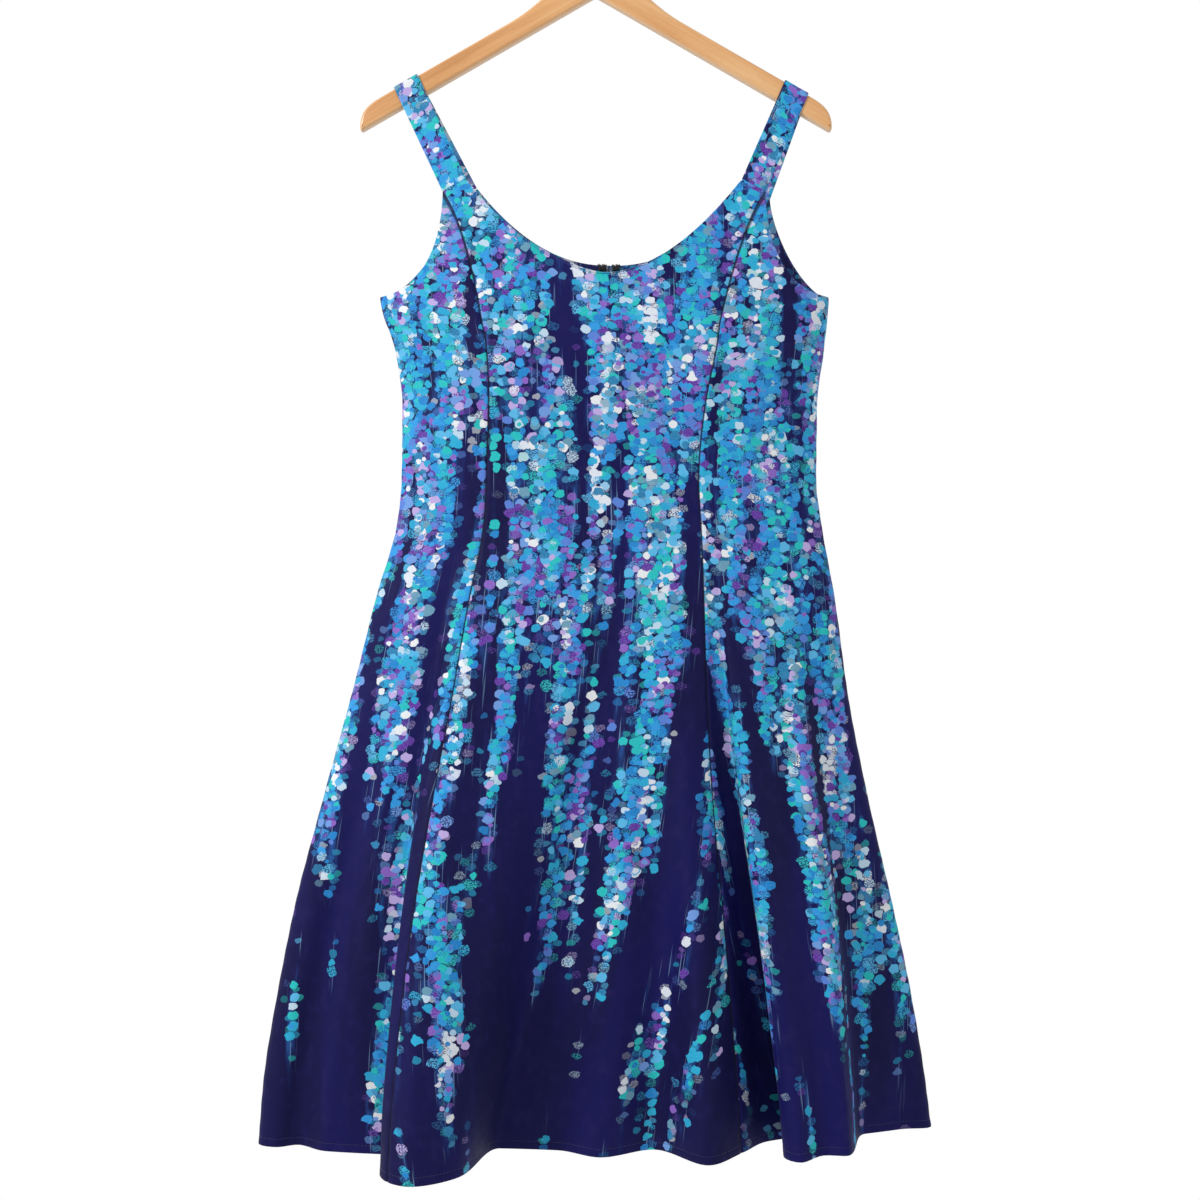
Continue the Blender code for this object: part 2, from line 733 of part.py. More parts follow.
def add_blocks(name, xs, ys, zs, filled, finish):
    """One closed body of the filled cells between three lists of planes."""
    vertices = {}
    faces = []

    def corner(i, j, k):
        return vertices.setdefault((i, j, k), len(vertices))

    def is_filled(i, j, k):
        inside = 0 <= i < len(xs) - 1 and 0 <= j < len(ys) - 1 and 0 <= k < len(zs) - 1
        return inside and filled(i, j, k)

    steps = ((1, 0, 0), (0, 1, 0), (0, 0, 1))
    for i in range(len(xs) - 1):
        for j in range(len(ys) - 1):
            for k in range(len(zs) - 1):
                if not is_filled(i, j, k):
                    continue
                for axis, (a, b, c) in enumerate(steps):
                    u, v = steps[(axis + 1) % 3], steps[(axis + 2) % 3]
                    loop = ((0, 0), (1, 0), (1, 1), (0, 1))
                    for sign in (1, -1):
                        if is_filled(i + sign * a, j + sign * b, k + sign * c):
                            continue
                        far = 1 if sign > 0 else 0
                        face = [
                            corner(
                                i + far * a + p * u[0] + q * v[0],
                                j + far * b + p * u[1] + q * v[1],
                                k + far * c + p * u[2] + q * v[2],
                            )
                            for p, q in loop
                        ]
                        faces.append(face if sign > 0 else face[::-1])
    places = [Vector((xs[i], ys[j], zs[k])) * MM for i, j, k in vertices]
    add_object(name, places, faces, finish)


def zip_base():
    """Y of the slider's inner face, just clear of the back at the seam."""
    return yoke_point(BACK_SEAM_X, ZIP_AXIS_Z + SLIDER_UP[0], -1).y + ZIP_CLEARANCE


def add_zip():
    """The slider, with the bar its pull swings on, and the pull."""
    base = zip_base()
    xs = [BACK_SEAM_X + x for x in SLIDER_ACROSS]
    ys = [base + y for y in SLIDER_OUT]
    zs = [ZIP_AXIS_Z + z for z in SLIDER_UP]

    def filled(i, j, k):
        plate = j == 0
        cheek = i != 1 and 1 <= k <= 3
        bar = j == 2 and k == 2
        return plate or cheek or bar

    add_blocks("zip_slider", xs, ys, zs, filled, black_metal())
    add_pull(Vector((BACK_SEAM_X, base + ZIP_AXIS_OUT, ZIP_AXIS_Z)))


def add_pull(axis):
    """A narrow pull whose eye is round the bar. Its origin is on the bar's axis."""
    turns = 16
    half_foot = math.asin(PULL_THICK / 2 / PULL_KNUCKLE)
    angles = [2 * math.pi * i / turns - math.pi / 2 - math.pi / turns for i in range(turns)]
    outer_angles = list(angles)
    outer_angles[0] = -math.pi / 2 - half_foot
    outer_angles[1] = -math.pi / 2 + half_foot
    profile = [(PULL_EYE * math.cos(a), PULL_EYE * math.sin(a)) for a in angles]
    profile += [(PULL_KNUCKLE * math.cos(a), PULL_KNUCKLE * math.sin(a)) for a in outer_angles]
    profile += [(-PULL_THICK / 2, -PULL_LENGTH), (PULL_THICK / 2, -PULL_LENGTH)]
    count = len(profile)
    vertices = [
        Vector((x, y, z)) * MM
        for x in (-PULL_HALF_WIDTH, PULL_HALF_WIDTH)
        for y, z in profile
    ]
    cap = [(i, turns + i, turns + (i + 1) % turns, (i + 1) % turns) for i in range(turns)]
    cap.append((turns, 2 * turns, 2 * turns + 1, turns + 1))
    faces = [tuple(reversed(face)) for face in cap]
    faces += [tuple(count + i for i in face) for face in cap]
    rim = [turns, 2 * turns, 2 * turns + 1] + [turns + i for i in range(1, turns)]
    for a, b in zip(rim, rim[1:] + rim[:1]):
        faces.append((a, b, count + b, count + a))
    for i in range(turns):
        j = (i + 1) % turns
        faces.append((j, i, count + i, count + j))
    made = add_object("zip_pull", vertices, faces, black_metal())
    made.location = axis * MM


def main():
    for old in list(bpy.data.objects):
        bpy.data.objects.remove(old)
    add_panels()
    add_straps()
    add_closure()
    add_zip()
    add_hanger()
    add_wire("hanger_hook", hook_path(), 0.0, HOOK_WIRE, 10, steel())


main()
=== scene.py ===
"""Looks of the printed cotton dress and its hanger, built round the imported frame.

Sizes are in millimetres, as in the part's own source, and become metres when a mesh is made. X runs to the
viewer's right, Z up, and the front of the dress faces -Y.
"""

import math
from collections import namedtuple

import bpy
import numpy as np
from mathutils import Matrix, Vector
from mathutils.geometry import tessellate_polygon


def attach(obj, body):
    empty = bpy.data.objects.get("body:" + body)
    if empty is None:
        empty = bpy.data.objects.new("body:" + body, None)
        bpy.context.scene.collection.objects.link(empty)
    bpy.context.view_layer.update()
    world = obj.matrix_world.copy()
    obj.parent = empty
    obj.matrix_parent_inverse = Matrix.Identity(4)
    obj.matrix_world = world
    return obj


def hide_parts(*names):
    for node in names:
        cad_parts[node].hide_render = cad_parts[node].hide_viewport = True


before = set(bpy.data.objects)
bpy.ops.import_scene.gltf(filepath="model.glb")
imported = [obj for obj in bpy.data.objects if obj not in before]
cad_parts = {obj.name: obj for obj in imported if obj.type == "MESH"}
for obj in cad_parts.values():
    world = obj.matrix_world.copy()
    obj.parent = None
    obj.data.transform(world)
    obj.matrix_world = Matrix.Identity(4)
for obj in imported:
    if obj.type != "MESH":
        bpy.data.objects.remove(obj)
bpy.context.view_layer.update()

MM = 0.001

# The same form as the solids
CLOTH = 1.5
SIDE_ROUNDING = 2.6
HEM_Z = -1195.0
HEM_LIFT_RIGHT = 8.0
YOKE_Z = -429.0
CENTRE_X = 7.5
BACK_SHIFT = 7.5
UNDERARM_Z = -399.0
JOIN_OUTER = (150.5, -303.0)
JOIN_INNER = (128.5, -291.5)
FRONT_NECK_Z = -383.0
BACK_NECK_Z = -364.0
FRONT_NECK_POWER = 1.85
BACK_NECK_POWER = 2.2
FRONT_ARMHOLE_POWER = 2.2
BACK_ARMHOLE_POWER = 1.45
SEAM_BEND = (128.0, -335.0)
STRAP_TOP_CENTRE_X = 5.0
STRAP_TOP_OUTER = 194.5
STRAP_TOP_INNER = 172.5
HANGER_HALF = 222.0
HANGER_THICK = 12.0
HANGER_SLOPE = math.radians(30.0)
ARM_WIDTH = 19.0
HANGER_APEX_Z = -115.5
HANGER_TOP_Z = -58.0
HANGER_NECK_HALF = 11.0
HOOK_WIRE = 3.4
HOOK_INSIDE = 17.0
BACK_SEAM_X = 12.5
THREAD_WIRE = 1.8
CLOSURE_Z = -368.0
SEAM_GAP = 0.3

# Finer form that the solids leave to the cloth shell
SHELL = 0.9
COLUMN_STEP = 5.0
YOKE_ROWS = 26
SKIRT_ROWS = 140
HEM_STITCH_UP = 7.5
# How far from each seam the painted shade reaches, in mm: darkest inside the first distance, gone beyond the
# second
SEAM_SHADE_REACH = (0.45, 1.1)
STITCH_PITCH = 3.2
STITCH_LONG = 2.3
STITCH_THICK = 0.42
WHIPS = 7
WHIP_THICK = 1.3

Section = namedtuple("Section", "z left right front back")
Fold = namedtuple("Fold", "name bust waist hem out start")

SECTIONS = (
    Section(-290.0, -204.0, 219.5, 24.0, 19.0),
    Section(-345.0, -204.0, 219.5, 33.0, 23.0),
    Section(-399.0, -203.5, 219.5, 39.0, 25.0),
    Section(-450.0, -189.5, 215.0, 42.0, 26.0),
    Section(-500.0, -183.0, 208.5, 38.0, 25.0),
    Section(-570.0, -184.0, 208.0, 31.0, 24.0),
    Section(-610.0, -188.0, 212.5, 31.0, 27.0),
    Section(-684.0, -208.5, 225.5, 35.0, 34.0),
    Section(-778.0, -232.0, 239.5, 42.0, 44.0),
    Section(-872.0, -258.0, 258.5, 48.0, 52.0),
    Section(-967.0, -283.0, 281.0, 53.0, 60.0),
    Section(-1061.0, -302.0, 301.0, 57.0, 66.0),
    Section(-1140.0, -314.0, 315.0, 59.0, 69.0),
    Section(-1195.0, -318.5, 322.0, 60.0, 70.0),
)
WAIST_Z = -570.0

FOLDS = (
    Fold("side_seam_left", -1.00, -1.00, -1.00, 0.0, -646.0),
    Fold("left_edge_lobe", -0.93, -0.93, -0.935, 15.0, -700.0),
    Fold("left_crease", -0.86, -0.84, -0.873, 8.0, -700.0),
    Fold("left_side_lobe", -0.77, -0.76, -0.79, 26.0, -700.0),
    Fold("left_tuck", -0.68, -0.69, -0.585, 36.0, -630.0),
    Fold("left_fold_edge", -0.61, -0.63, -0.606, 88.0, -630.0),
    Fold("princess_left", -0.56, -0.58, -0.578, 110.0, -630.0),
    Fold("left_fold_crown", -0.49, -0.52, -0.515, 122.0, -630.0),
    Fold("left_fold_shoulder", -0.30, -0.26, -0.385, 98.0, -650.0),
    Fold("left_hollow", 0.05, 0.07, -0.285, 18.0, -690.0),
    Fold("left_flat", 0.10, 0.115, -0.115, 24.0, -720.0),
    Fold("middle_crown", 0.15, 0.16, 0.008, 44.0, -760.0),
    Fold("middle_hollow", 0.26, 0.26, 0.16, 22.0, -760.0),
    Fold("right_roll", 0.39, 0.35, 0.314, 66.0, -700.0),
    Fold("princess_right", 0.50, 0.425, 0.416, 34.0, -640.0),
    Fold("right_hollow", 0.53, 0.45, 0.497, 3.0, -640.0),
    Fold("right_tuck", 0.56, 0.48, 0.560, -4.0, -640.0),
    Fold("right_fold_edge", 0.59, 0.51, 0.532, 50.0, -640.0),
    Fold("right_fold_crown", 0.64, 0.57, 0.578, 67.0, -640.0),
    Fold("right_crease", 0.72, 0.71, 0.645, 51.0, -680.0),
    Fold("right_shoulder", 0.79, 0.78, 0.710, 56.0, -680.0),
    Fold("right_side_hollow", 0.88, 0.88, 0.79, -5.0, -680.0),
    Fold("right_edge_lobe", 0.95, 0.95, 0.90, -15.0, -700.0),
    Fold("side_seam_right", 1.00, 1.00, 1.00, -26.0, -646.0),
    Fold("back_right_lobe", 0.88, 0.88, 0.85, -76.0, -680.0),
    Fold("back_right_hollow", 0.72, 0.72, 0.70, -45.0, -680.0),
    Fold("back_right_roll", 0.57, 0.56, 0.54, -110.0, -650.0),
    Fold("back_princess_right", 0.47, 0.45, 0.44, -86.0, -650.0),
    Fold("back_inner_hollow", 0.31, 0.30, 0.30, -52.0, -680.0),
    Fold("back_inner_roll", 0.15, 0.15, 0.14, -94.0, -700.0),
    Fold("zip_seam", 0.00, 0.00, 0.03, -72.0, -700.0),
    Fold("back_middle_hollow", -0.11, -0.11, -0.09, -54.0, -700.0),
    Fold("back_left_roll", -0.29, -0.28, -0.26, -106.0, -680.0),
    Fold("back_princess_left", -0.45, -0.45, -0.42, -60.0, -650.0),
    Fold("back_left_hollow", -0.55, -0.55, -0.52, -43.0, -650.0),
    Fold("back_left_fold", -0.72, -0.71, -0.69, -100.0, -660.0),
    Fold("back_edge_hollow", -0.88, -0.87, -0.86, -38.0, -690.0),
)

PANELS = (
    ("front_side_left", "side_seam_left", "princess_left"),
    ("front_centre", "princess_left", "princess_right"),
    ("front_side_right", "princess_right", "side_seam_right"),
    ("back_side_right", "side_seam_right", "back_princess_right"),
    ("back_centre_right", "back_princess_right", "zip_seam"),
    ("back_centre_left", "zip_seam", "back_princess_left"),
    ("back_side_left", "back_princess_left", "side_seam_left"),
)

# Where each piece was cut from the printed cloth, so that the print doesn't meet at the seams
CUT_FROM = {
    "front_side_left": (0.31, 0.02),
    "front_centre": (0.95, 0.00),
    "front_side_right": (1.62, -0.03),
    "back_side_right": (2.35, 0.03),
    "back_centre_right": (3.10, -0.02),
    "back_centre_left": (3.75, 0.04),
    "back_side_left": (4.40, 0.00),
    "strap_left": (5.127, 0.05),
    "strap_right": (5.84, 0.03),
}

# Soft creases laid into the cloth, on the front (side 1) and the back (-1): a line from one
# place to another seen from the front, how wide it is and how far it rises (or sinks, if negative)
Crease = namedtuple("Crease", "side x0 z0 x1 z1 width rise")
CREASE_GAIN = 1.6
CREASES = (
    Crease(1, -128, -420, -92, -560, 9, -1.2),
    Crease(1, -60, -400, -52, -540, 14, 0.9),
    Crease(1, 18, -395, 22, -640, 16, 0.8),
    Crease(1, 66, -430, 70, -600, 12, -0.9),
    Crease(1, 104, -400, 96, -520, 10, 1.1),
    Crease(1, -112, -575, -30, -600, 9, 0.8),
    Crease(1, -106, -606, -46, -622, 7, -0.9),
    Crease(1, 92, -560, 20, -588, 8, -0.8),
    Crease(1, 108, -585, 178, -560, 8, 0.9),
    Crease(1, -176, -560, -124, -588, 8, 0.8),
    Crease(1, -182, -430, -150, -520, 12, -1.1),
    Crease(1, 196, -425, 168, -530, 13, -1.2),
    Crease(1, 150, -410, 142, -560, 11, 1.0),
    Crease(1, -195, -405, -128, -432, 9, 0.9),
    Crease(1, 205, -404, 140, -436, 10, 0.9),
    Crease(1, -20, -700, -44, -1080, 13, 1.3),
    Crease(1, 22, -760, 8, -1120, 11, -1.0),
    Crease(1, 62, -690, 70, -1010, 12, 1.1),
    Crease(1, -96, -760, -118, -1110, 12, -1.3),
    Crease(1, -70, -850, -96, -1185, 14, 1.3),
    Crease(1, -188, -760, -228, -1120, 10, 1.2),
    Crease(1, -222, -880, -262, -1190, 9, -1.1),
    Crease(1, 168, -640, 208, -1000, 10, -1.4),
    Crease(1, 186, -700, 252, -1140, 13, 1.2),
    Crease(1, 214, -860, 268, -1185, 11, -1.0),
    Crease(1, 140, -820, 166, -1150, 9, 1.0),
    Crease(-1, -120, -410, -100, -560, 10, -1.1),
    Crease(-1, -52, -420, -56, -600, 14, 0.9),
    Crease(-1, 52, -400, 60, -560, 12, 1.0),
    Crease(-1, 118, -420, 108, -560, 10, -1.1),
    Crease(-1, -92, -580, -20, -566, 8, 0.8),
    Crease(-1, 110, -592, 30, -574, 8, -0.9),
    Crease(-1, -170, -440, -150, -540, 12, 1.0),
    Crease(-1, 180, -440, 160, -540, 12, 1.0),
    Crease(-1, -40, -700, -62, -1060, 12, 1.3),
    Crease(-1, 36, -740, 52, -1130, 12, -1.2),
    Crease(-1, 96, -680, 118, -1040, 11, 1.1),
    Crease(-1, -118, -700, -150, -1090, 12, -1.2),
    Crease(-1, -180, -760, -226, -1150, 11, 1.2),
    Crease(-1, 176, -740, 226, -1150, 12, -1.1),
    Crease(-1, 230, -900, 262, -1180, 10, 1.0),
    Crease(-1, -10, -900, -16, -1185, 10, -1.0),
)


def mix(a, b, share):
    return a + (b - a) * share


def slopes(knots, values):
    """Slopes, along the first axis, of a smooth curve through the values that never runs past them."""
    shape = (-1,) + (1,) * (values.ndim - 1)
    steps = np.diff(values, axis=0) / np.diff(knots).reshape(shape)
    a, b = steps[:-1], steps[1:]
    total = np.where(np.abs(a + b) < 1e-12, 1.0, a + b)
    inner = np.where(a * b <= 0, 0.0, 2 * a * b / total)
    return np.concatenate([steps[:1], inner, steps[-1:]])


def between(knots, i, values, tangents, next_values, next_tangents, at):
    width = knots[i + 1] - knots[i]
    t = (at - knots[i]) / width
    return (
        values * (1 + 2 * t) * (1 - t) ** 2
        + tangents * width * t * (1 - t) ** 2
        + next_values * t * t * (3 - 2 * t)
        + next_tangents * width * t * t * (t - 1)
    )


class Curve:
    """A smooth curve through values at rising knots, for numbers or whole grids of them."""

    def __init__(self, knots, values):
        self.knots = np.array(knots, float)
        self.values = np.array(values, float)
        self.tangents = slopes(self.knots, self.values)

    def __call__(self, at):
        at = np.asarray(at, float)
        i = np.clip(np.searchsorted(self.knots, at, "right") - 1, 0, len(self.knots) - 2)
        v, t = self.values, self.tangents
        return between(self.knots, i, v[i], t[i], v[i + 1], t[i + 1], at)


RISING = SECTIONS[::-1]
OUTLINE = {
    side: Curve([s.z for s in RISING], [getattr(s, side) for s in RISING])
    for side in ("left", "right", "front", "back")
}


def middle_and_half(z):
    left = OUTLINE["left"](z)
    right = OUTLINE["right"](z)
    return (left + right) / 2, (right - left) / 2


def plain_out(share, z, side):
    depth = np.where(side > 0, OUTLINE["front"](z), OUTLINE["back"](z))
    return side * depth * np.sqrt(np.maximum(0.0, 1 - np.abs(share) ** SIDE_ROUNDING))


NAMES = [f.name for f in FOLDS]
SIDE_RIGHT = NAMES.index("side_seam_right")


def hem_lengths():
    middle, half = middle_and_half(HEM_Z)
    points = [Vector((float(middle + half * f.hem), f.out)) for f in FOLDS]
    lengths = [0.0]
    for a, b in zip(points, points[1:] + points[:1]):
        lengths.append(lengths[-1] + (b - a).length)
    return lengths


LINE_AT = hem_lengths()
AROUND = LINE_AT[-1]


def ring_points(along, z):
    """Points of the outer face below the yoke, for columns at places along the hem and a grid of heights."""
    shares, folds = [], []
    for i, f in enumerate(FOLDS):
        side = 1 if i <= SIDE_RIGHT else -1
        shares.append(Curve([HEM_Z, WAIST_Z, YOKE_Z], [f.hem, f.waist, f.bust])(z))
        grown = np.maximum(0.0, (f.start - z) / (f.start - HEM_Z)) ** 1.1
        folds.append((f.out - plain_out(f.hem, HEM_Z, side)) * grown)
    over = 3
    knots = np.array(
        [k - AROUND for k in LINE_AT[-1 - over : -1]]
        + LINE_AT[:-1]
        + [k + AROUND for k in LINE_AT[: over + 1]]
    )
    at = np.asarray(along) % AROUND
    i = np.searchsorted(knots, at, "right") - 1
    columns = np.arange(len(at))
    found = []
    for values in (shares, folds):
        v = np.stack(values[-over:] + values + values[: over + 1])
        t = slopes(knots, v)
        pick = lambda grid, k: grid[k, :, columns].T
        found.append(
            between(knots, i, pick(v, i), pick(t, i), pick(v, i + 1), pick(t, i + 1), at)
        )
    share, fold = found
    side = np.where(at <= LINE_AT[SIDE_RIGHT], 1, -1)
    middle, half = middle_and_half(z)
    out = plain_out(share, z, side) + fold
    return np.stack([middle + half * share, -out, z], -1)


def hem_height(x):
    share = np.clip((x - 100.0) / 215.0, 0.0, 1.0)
    return HEM_Z + HEM_LIFT_RIGHT * share * share * (3 - 2 * share)


def yoke_point(x, z, side):
    middle, half = middle_and_half(z)
    return np.stack([x, -plain_out((x - middle) / half, z, side), z], -1)


def centre_x(side):
    return CENTRE_X if side > 0 else CENTRE_X + BACK_SHIFT


def neckline(x, side):
    low = FRONT_NECK_Z if side > 0 else BACK_NECK_Z
    power = FRONT_NECK_POWER if side > 0 else BACK_NECK_POWER
    share = np.minimum(1.0, np.abs(x - centre_x(side)) / JOIN_INNER[0])
    return low + (JOIN_INNER[1] - low) * share**power


def armhole(share, hand, side):
    power = 2 / (FRONT_ARMHOLE_POWER if side > 0 else BACK_ARMHOLE_POWER)
    angle = share * math.pi / 2
    strap_x = centre_x(side) + hand * JOIN_OUTER[0]
    underarm_x = OUTLINE["left" if hand < 0 else "right"](UNDERARM_Z)
    x = mix(underarm_x, strap_x, np.maximum(0, np.sin(angle)) ** power)
    z = mix(JOIN_OUTER[1], UNDERARM_Z, np.maximum(0, np.cos(angle)) ** power)
    return np.stack([x, z], -1)


def flat(x, z):
    return np.array([float(x), float(z)])


def princess(v, hand, foot_x, side):
    top = flat(centre_x(side) + hand * JOIN_OUTER[0], JOIN_OUTER[1])
    bend = flat(centre_x(side) + hand * SEAM_BEND[0], SEAM_BEND[1])
    foot = flat(foot_x, YOKE_Z)
    return mix(mix(top, bend, v), mix(bend, foot, v), v)


def side_edge(v, hand):
    z = mix(UNDERARM_Z, YOKE_Z, v)
    return flat(OUTLINE["left" if hand < 0 else "right"](z), z)


def centre_edge(v, side):
    top = flat(BACK_SEAM_X, neckline(BACK_SEAM_X, side))
    return mix(top, flat(middle_and_half(YOKE_Z)[0], YOKE_Z), v)


def top_of_centre(share, first_hand, last_hand, side):
    """The top edge of a centre panel: the strap's join at an outer end, then the neckline."""
    ends = [
        centre_x(side) + hand * JOIN_INNER[0] if hand else BACK_SEAM_X
        for hand in (first_hand, last_hand)
    ]
    joins = [JOIN_SHARE if hand else 0.0 for hand in (first_hand, last_hand)]
    points = []
    for s in share:
        if s < joins[0] or 1 - s < joins[1]:
            hand = first_hand if s < joins[0] else last_hand
            near = (s if s < joins[0] else 1 - s) / JOIN_SHARE
            outer = flat(centre_x(side) + hand * JOIN_OUTER[0], JOIN_OUTER[1])
            inner = flat(centre_x(side) + hand * JOIN_INNER[0], JOIN_INNER[1])
            points.append(mix(outer, inner, near))
        else:
            x = mix(ends[0], ends[1], (s - joins[0]) / (1 - sum(joins)))
            points.append(flat(x, neckline(x, side)))
    return np.array(points)


JOIN_SHARE = 0.075


class Panel:
    """One cut piece as a fine grid: outer points, the directions out of the cloth, and its flat pattern."""

    def __init__(self, name, start, end):
        self.name = name
        self.side = 1 if name.startswith("front") else -1
        first = LINE_AT[NAMES.index(start)]
        last = LINE_AT[NAMES.index(end)] or AROUND
        self.along = self.places(first, last)
        self.share = (self.along - first) / (last - first)
        yoke_line = np.full((1, len(self.along)), YOKE_Z)
        feet = ring_points(self.along, yoke_line)[0]
        hem_x = ring_points(self.along, np.full((1, len(self.along)), HEM_Z))[0, :, 0]
        hem = hem_height(hem_x)
        drop = np.linspace(0, 1, SKIRT_ROWS + 1)[:, None]
        z = mix(YOKE_Z, hem + 10.0, drop)
        ends = np.stack([hem + up for up in HEM_ROWS])
        skirt = ring_points(self.along, np.concatenate([z, ends]))
        self.points = np.concatenate([self.yoke(feet[:, 0]), skirt])
        self.rows = len(self.points)
        self.outward = self.directions(self.points)
        self.uv = self.pattern()
        self.points = self.points + self.outward * self.relief()[..., None]

    @staticmethod
    def places(first, last):
        knots = [k for k in LINE_AT if first <= k <= last]
        places = [first]
        for a, b in zip(knots, knots[1:]):
            count = max(3, round((b - a) / COLUMN_STEP))
            places += [mix(a, b, (i + 1) / count) for i in range(count)]
        near = [first + 0.5, first + 1.4, last - 1.4, last - 0.5]
        return np.array(sorted(places + near))

    def yoke(self, foot_x):
        """The rows above the yoke line, blended between the four edges of that part."""
        side = self.side
        share = self.share
        hand = -1 if self.name.endswith("left") else 1
        if "side" in self.name:
            seam_x = foot_x[-1] if hand * side < 0 else foot_x[0]
            top = armhole(share if hand * side < 0 else 1 - share, hand, side)
            edges = [
                lambda v: side_edge(v, hand),
                lambda v: princess(v, hand, seam_x, side),
            ]
            if hand * side > 0:
                edges.reverse()
        else:
            hands = {
                "front_centre": (-1, 1),
                "back_centre_right": (1, 0),
                "back_centre_left": (0, -1),
            }[self.name]
            top = top_of_centre(share, *hands, side)
            edges = [
                (lambda v, h=h, x=x: princess(v, h, x, side) if h else centre_edge(v, side))
                for h, x in zip(hands, (foot_x[0], foot_x[-1]))
            ]
        bottom = np.stack([foot_x, np.full(len(foot_x), YOKE_Z)], -1)
        s = share[:, None]
        rows = []
        for v in [0.0, 0.012, *np.linspace(0, 1, YOKE_ROWS + 1)[1:-1]]:
            corners = mix(mix(top[0], top[-1], s), mix(bottom[0], bottom[-1], s), v)
            across = mix(edges[0](v), edges[1](v), s)
            at = mix(top, bottom, v) + across - corners
            rows.append(yoke_point(at[:, 0], at[:, 1], side))
        return np.stack(rows)

    @staticmethod
    def directions(points):
        across = np.gradient(points, axis=1)
        down = np.gradient(points, axis=0)
        normal = np.cross(down, across)
        return normal / np.maximum(np.linalg.norm(normal, axis=-1, keepdims=True), 1e-9)

    def pattern(self):
        """Where each point lies on the flat cloth, in metres: across from the piece's middle, and down."""
        step = np.linalg.norm(np.diff(self.points[..., :2], axis=1), axis=-1)
        across = np.concatenate([np.zeros((self.rows, 1)), np.cumsum(step, axis=1)], 1)
        middle = self.points.shape[1] // 2
        across -= across[:, middle : middle + 1]
        yoke = self.points[..., 2].max(1) > YOKE_Z + 0.1
        lean = self.points[:, middle, 0] - self.points[~yoke][0, middle, 0]
        across += np.where(yoke, lean * self.side, 0.0)[:, None]
        down = -290.0 - self.points[..., 2]
        start = CUT_FROM[self.name]
        return np.stack([across * MM + start[0], down * MM + start[1]], -1)

    def relief(self):
        """How far each point is moved out: seams, turnings, the hem and the creases."""
        width = self.uv[..., 0]
        first = (width - width[:, :1]) / MM
        last = (width[:, -1:] - width) / MM
        z = self.points[..., 2]
        x = self.points[..., 0]
        hem = hem_height(x[-1])[None]
        moved = np.zeros(z.shape)
        for gap, phase in ((first, 0.0), (last, 2.1)):
            pucker = np.sin(z / 4.3 + phase + 1.7 * np.sin(z / 31.0)) * 0.16
            moved += (pucker - 0.05) * np.exp(-((gap / 7.0) ** 2))
            moved -= 1.05 * np.exp(-((gap / 1.3) ** 2))
        up = z - hem
        moved += 0.22 / (1 + np.exp((up - 8.6) * 2.5))
        moved -= 0.28 * np.exp(-(((up - HEM_STITCH_UP) / 0.8) ** 2))
        moved += 0.3 * np.sin(x / 23.0 + z / 61.0) * np.sin(z / 47.0 - x / 37.0)
        for c in CREASES:
            if c.side != self.side:
                continue
            run = np.array([c.x1 - c.x0, c.z1 - c.z0], float)
            length = math.hypot(*run)
            run /= length
            t = ((x - c.x0) * run[0] + (z - c.z0) * run[1]) / length
            bow = 0.06 * length * np.sin(np.clip(t, 0, 1) * math.pi) * math.sin(c.x0)
            off = (x - c.x0) * -run[1] + (z - c.z0) * run[0] - bow * 0.5
            fade = np.clip(np.minimum(t, 1 - t) / 0.3, 0, 1)
            fade = fade * fade * (3 - 2 * fade)
            moved += CREASE_GAIN * c.rise * fade * np.exp(-((off / c.width) ** 2))
        return moved

    def thickness(self):
        """The cloth's thickness, thin at its edges so that they look turned."""
        thick = np.full(self.points.shape[:2], SHELL)
        thick[0] *= 0.45
        thick[-1] *= 0.45
        return thick

    def from_seams(self):
        """How far each point lies from the nearer of the piece's two long seams, in metres."""
        width = self.uv[..., 0]
        return np.minimum(width - width[:, :1], width[:, -1:] - width)


HEM_ROWS = [8.4, HEM_STITCH_UP, 6.6, 4.0, 1.6, 0.5, 0.0]


def shell(name, outer, outward, thick, uv, edges, finishes):
    """A closed thin wall between a grid of outer points and the same points moved in.

    Its first UV layer is the flat pattern, and its second the distance from the nearest seam.
    """
    rows, columns = outer.shape[:2]
    inner = outer - outward * thick[..., None]
    edge = (np.max(thick) - thick) / 2
    inner = inner - outward * edge[..., None]
    outer = outer - outward * edge[..., None]
    vertices = np.concatenate([outer.reshape(-1, 3), inner.reshape(-1, 3)]) * MM
    index = np.arange(rows * columns).reshape(rows, columns)
    quads = np.stack([index[:-1, :-1], index[1:, :-1], index[1:, 1:], index[:-1, 1:]], -1)
    quads = quads.reshape(-1, 4)
    shift = rows * columns
    rim = np.concatenate(
        [index[0, :-1], index[:-1, -1], index[-1, :0:-1], index[:0:-1, 0]]
    )
    after = np.roll(rim, -1)
    sides = np.stack([rim, after, after + shift, rim + shift], -1)
    faces = np.concatenate([quads, quads[:, ::-1] + shift, sides])
    mesh = bpy.data.meshes.new(name)
    mesh.from_pydata(vertices.tolist(), [], faces.tolist())
    edge_uv = np.stack([edges, np.zeros(edges.shape)], -1)
    for layer_name, grid in (("cloth", uv), ("edges", edge_uv)):
        both = np.concatenate([grid.reshape(-1, 2), grid.reshape(-1, 2)])
        layer = mesh.uv_layers.new(name=layer_name)
        layer.data.foreach_set("uv", both[faces.reshape(-1)].astype(np.float32).ravel())
    for finish in finishes:
        mesh.materials.append(finish)
    slots = np.zeros(len(faces), np.int32)
    slots[len(quads) : 2 * len(quads)] = 1
    mesh.polygons.foreach_set("material_index", slots)
    mesh.shade_smooth()
    mesh.set_sharp_from_angle(angle=math.radians(60))
    made = bpy.data.objects.new(name, mesh)
    bpy.context.scene.collection.objects.link(made)
    return made


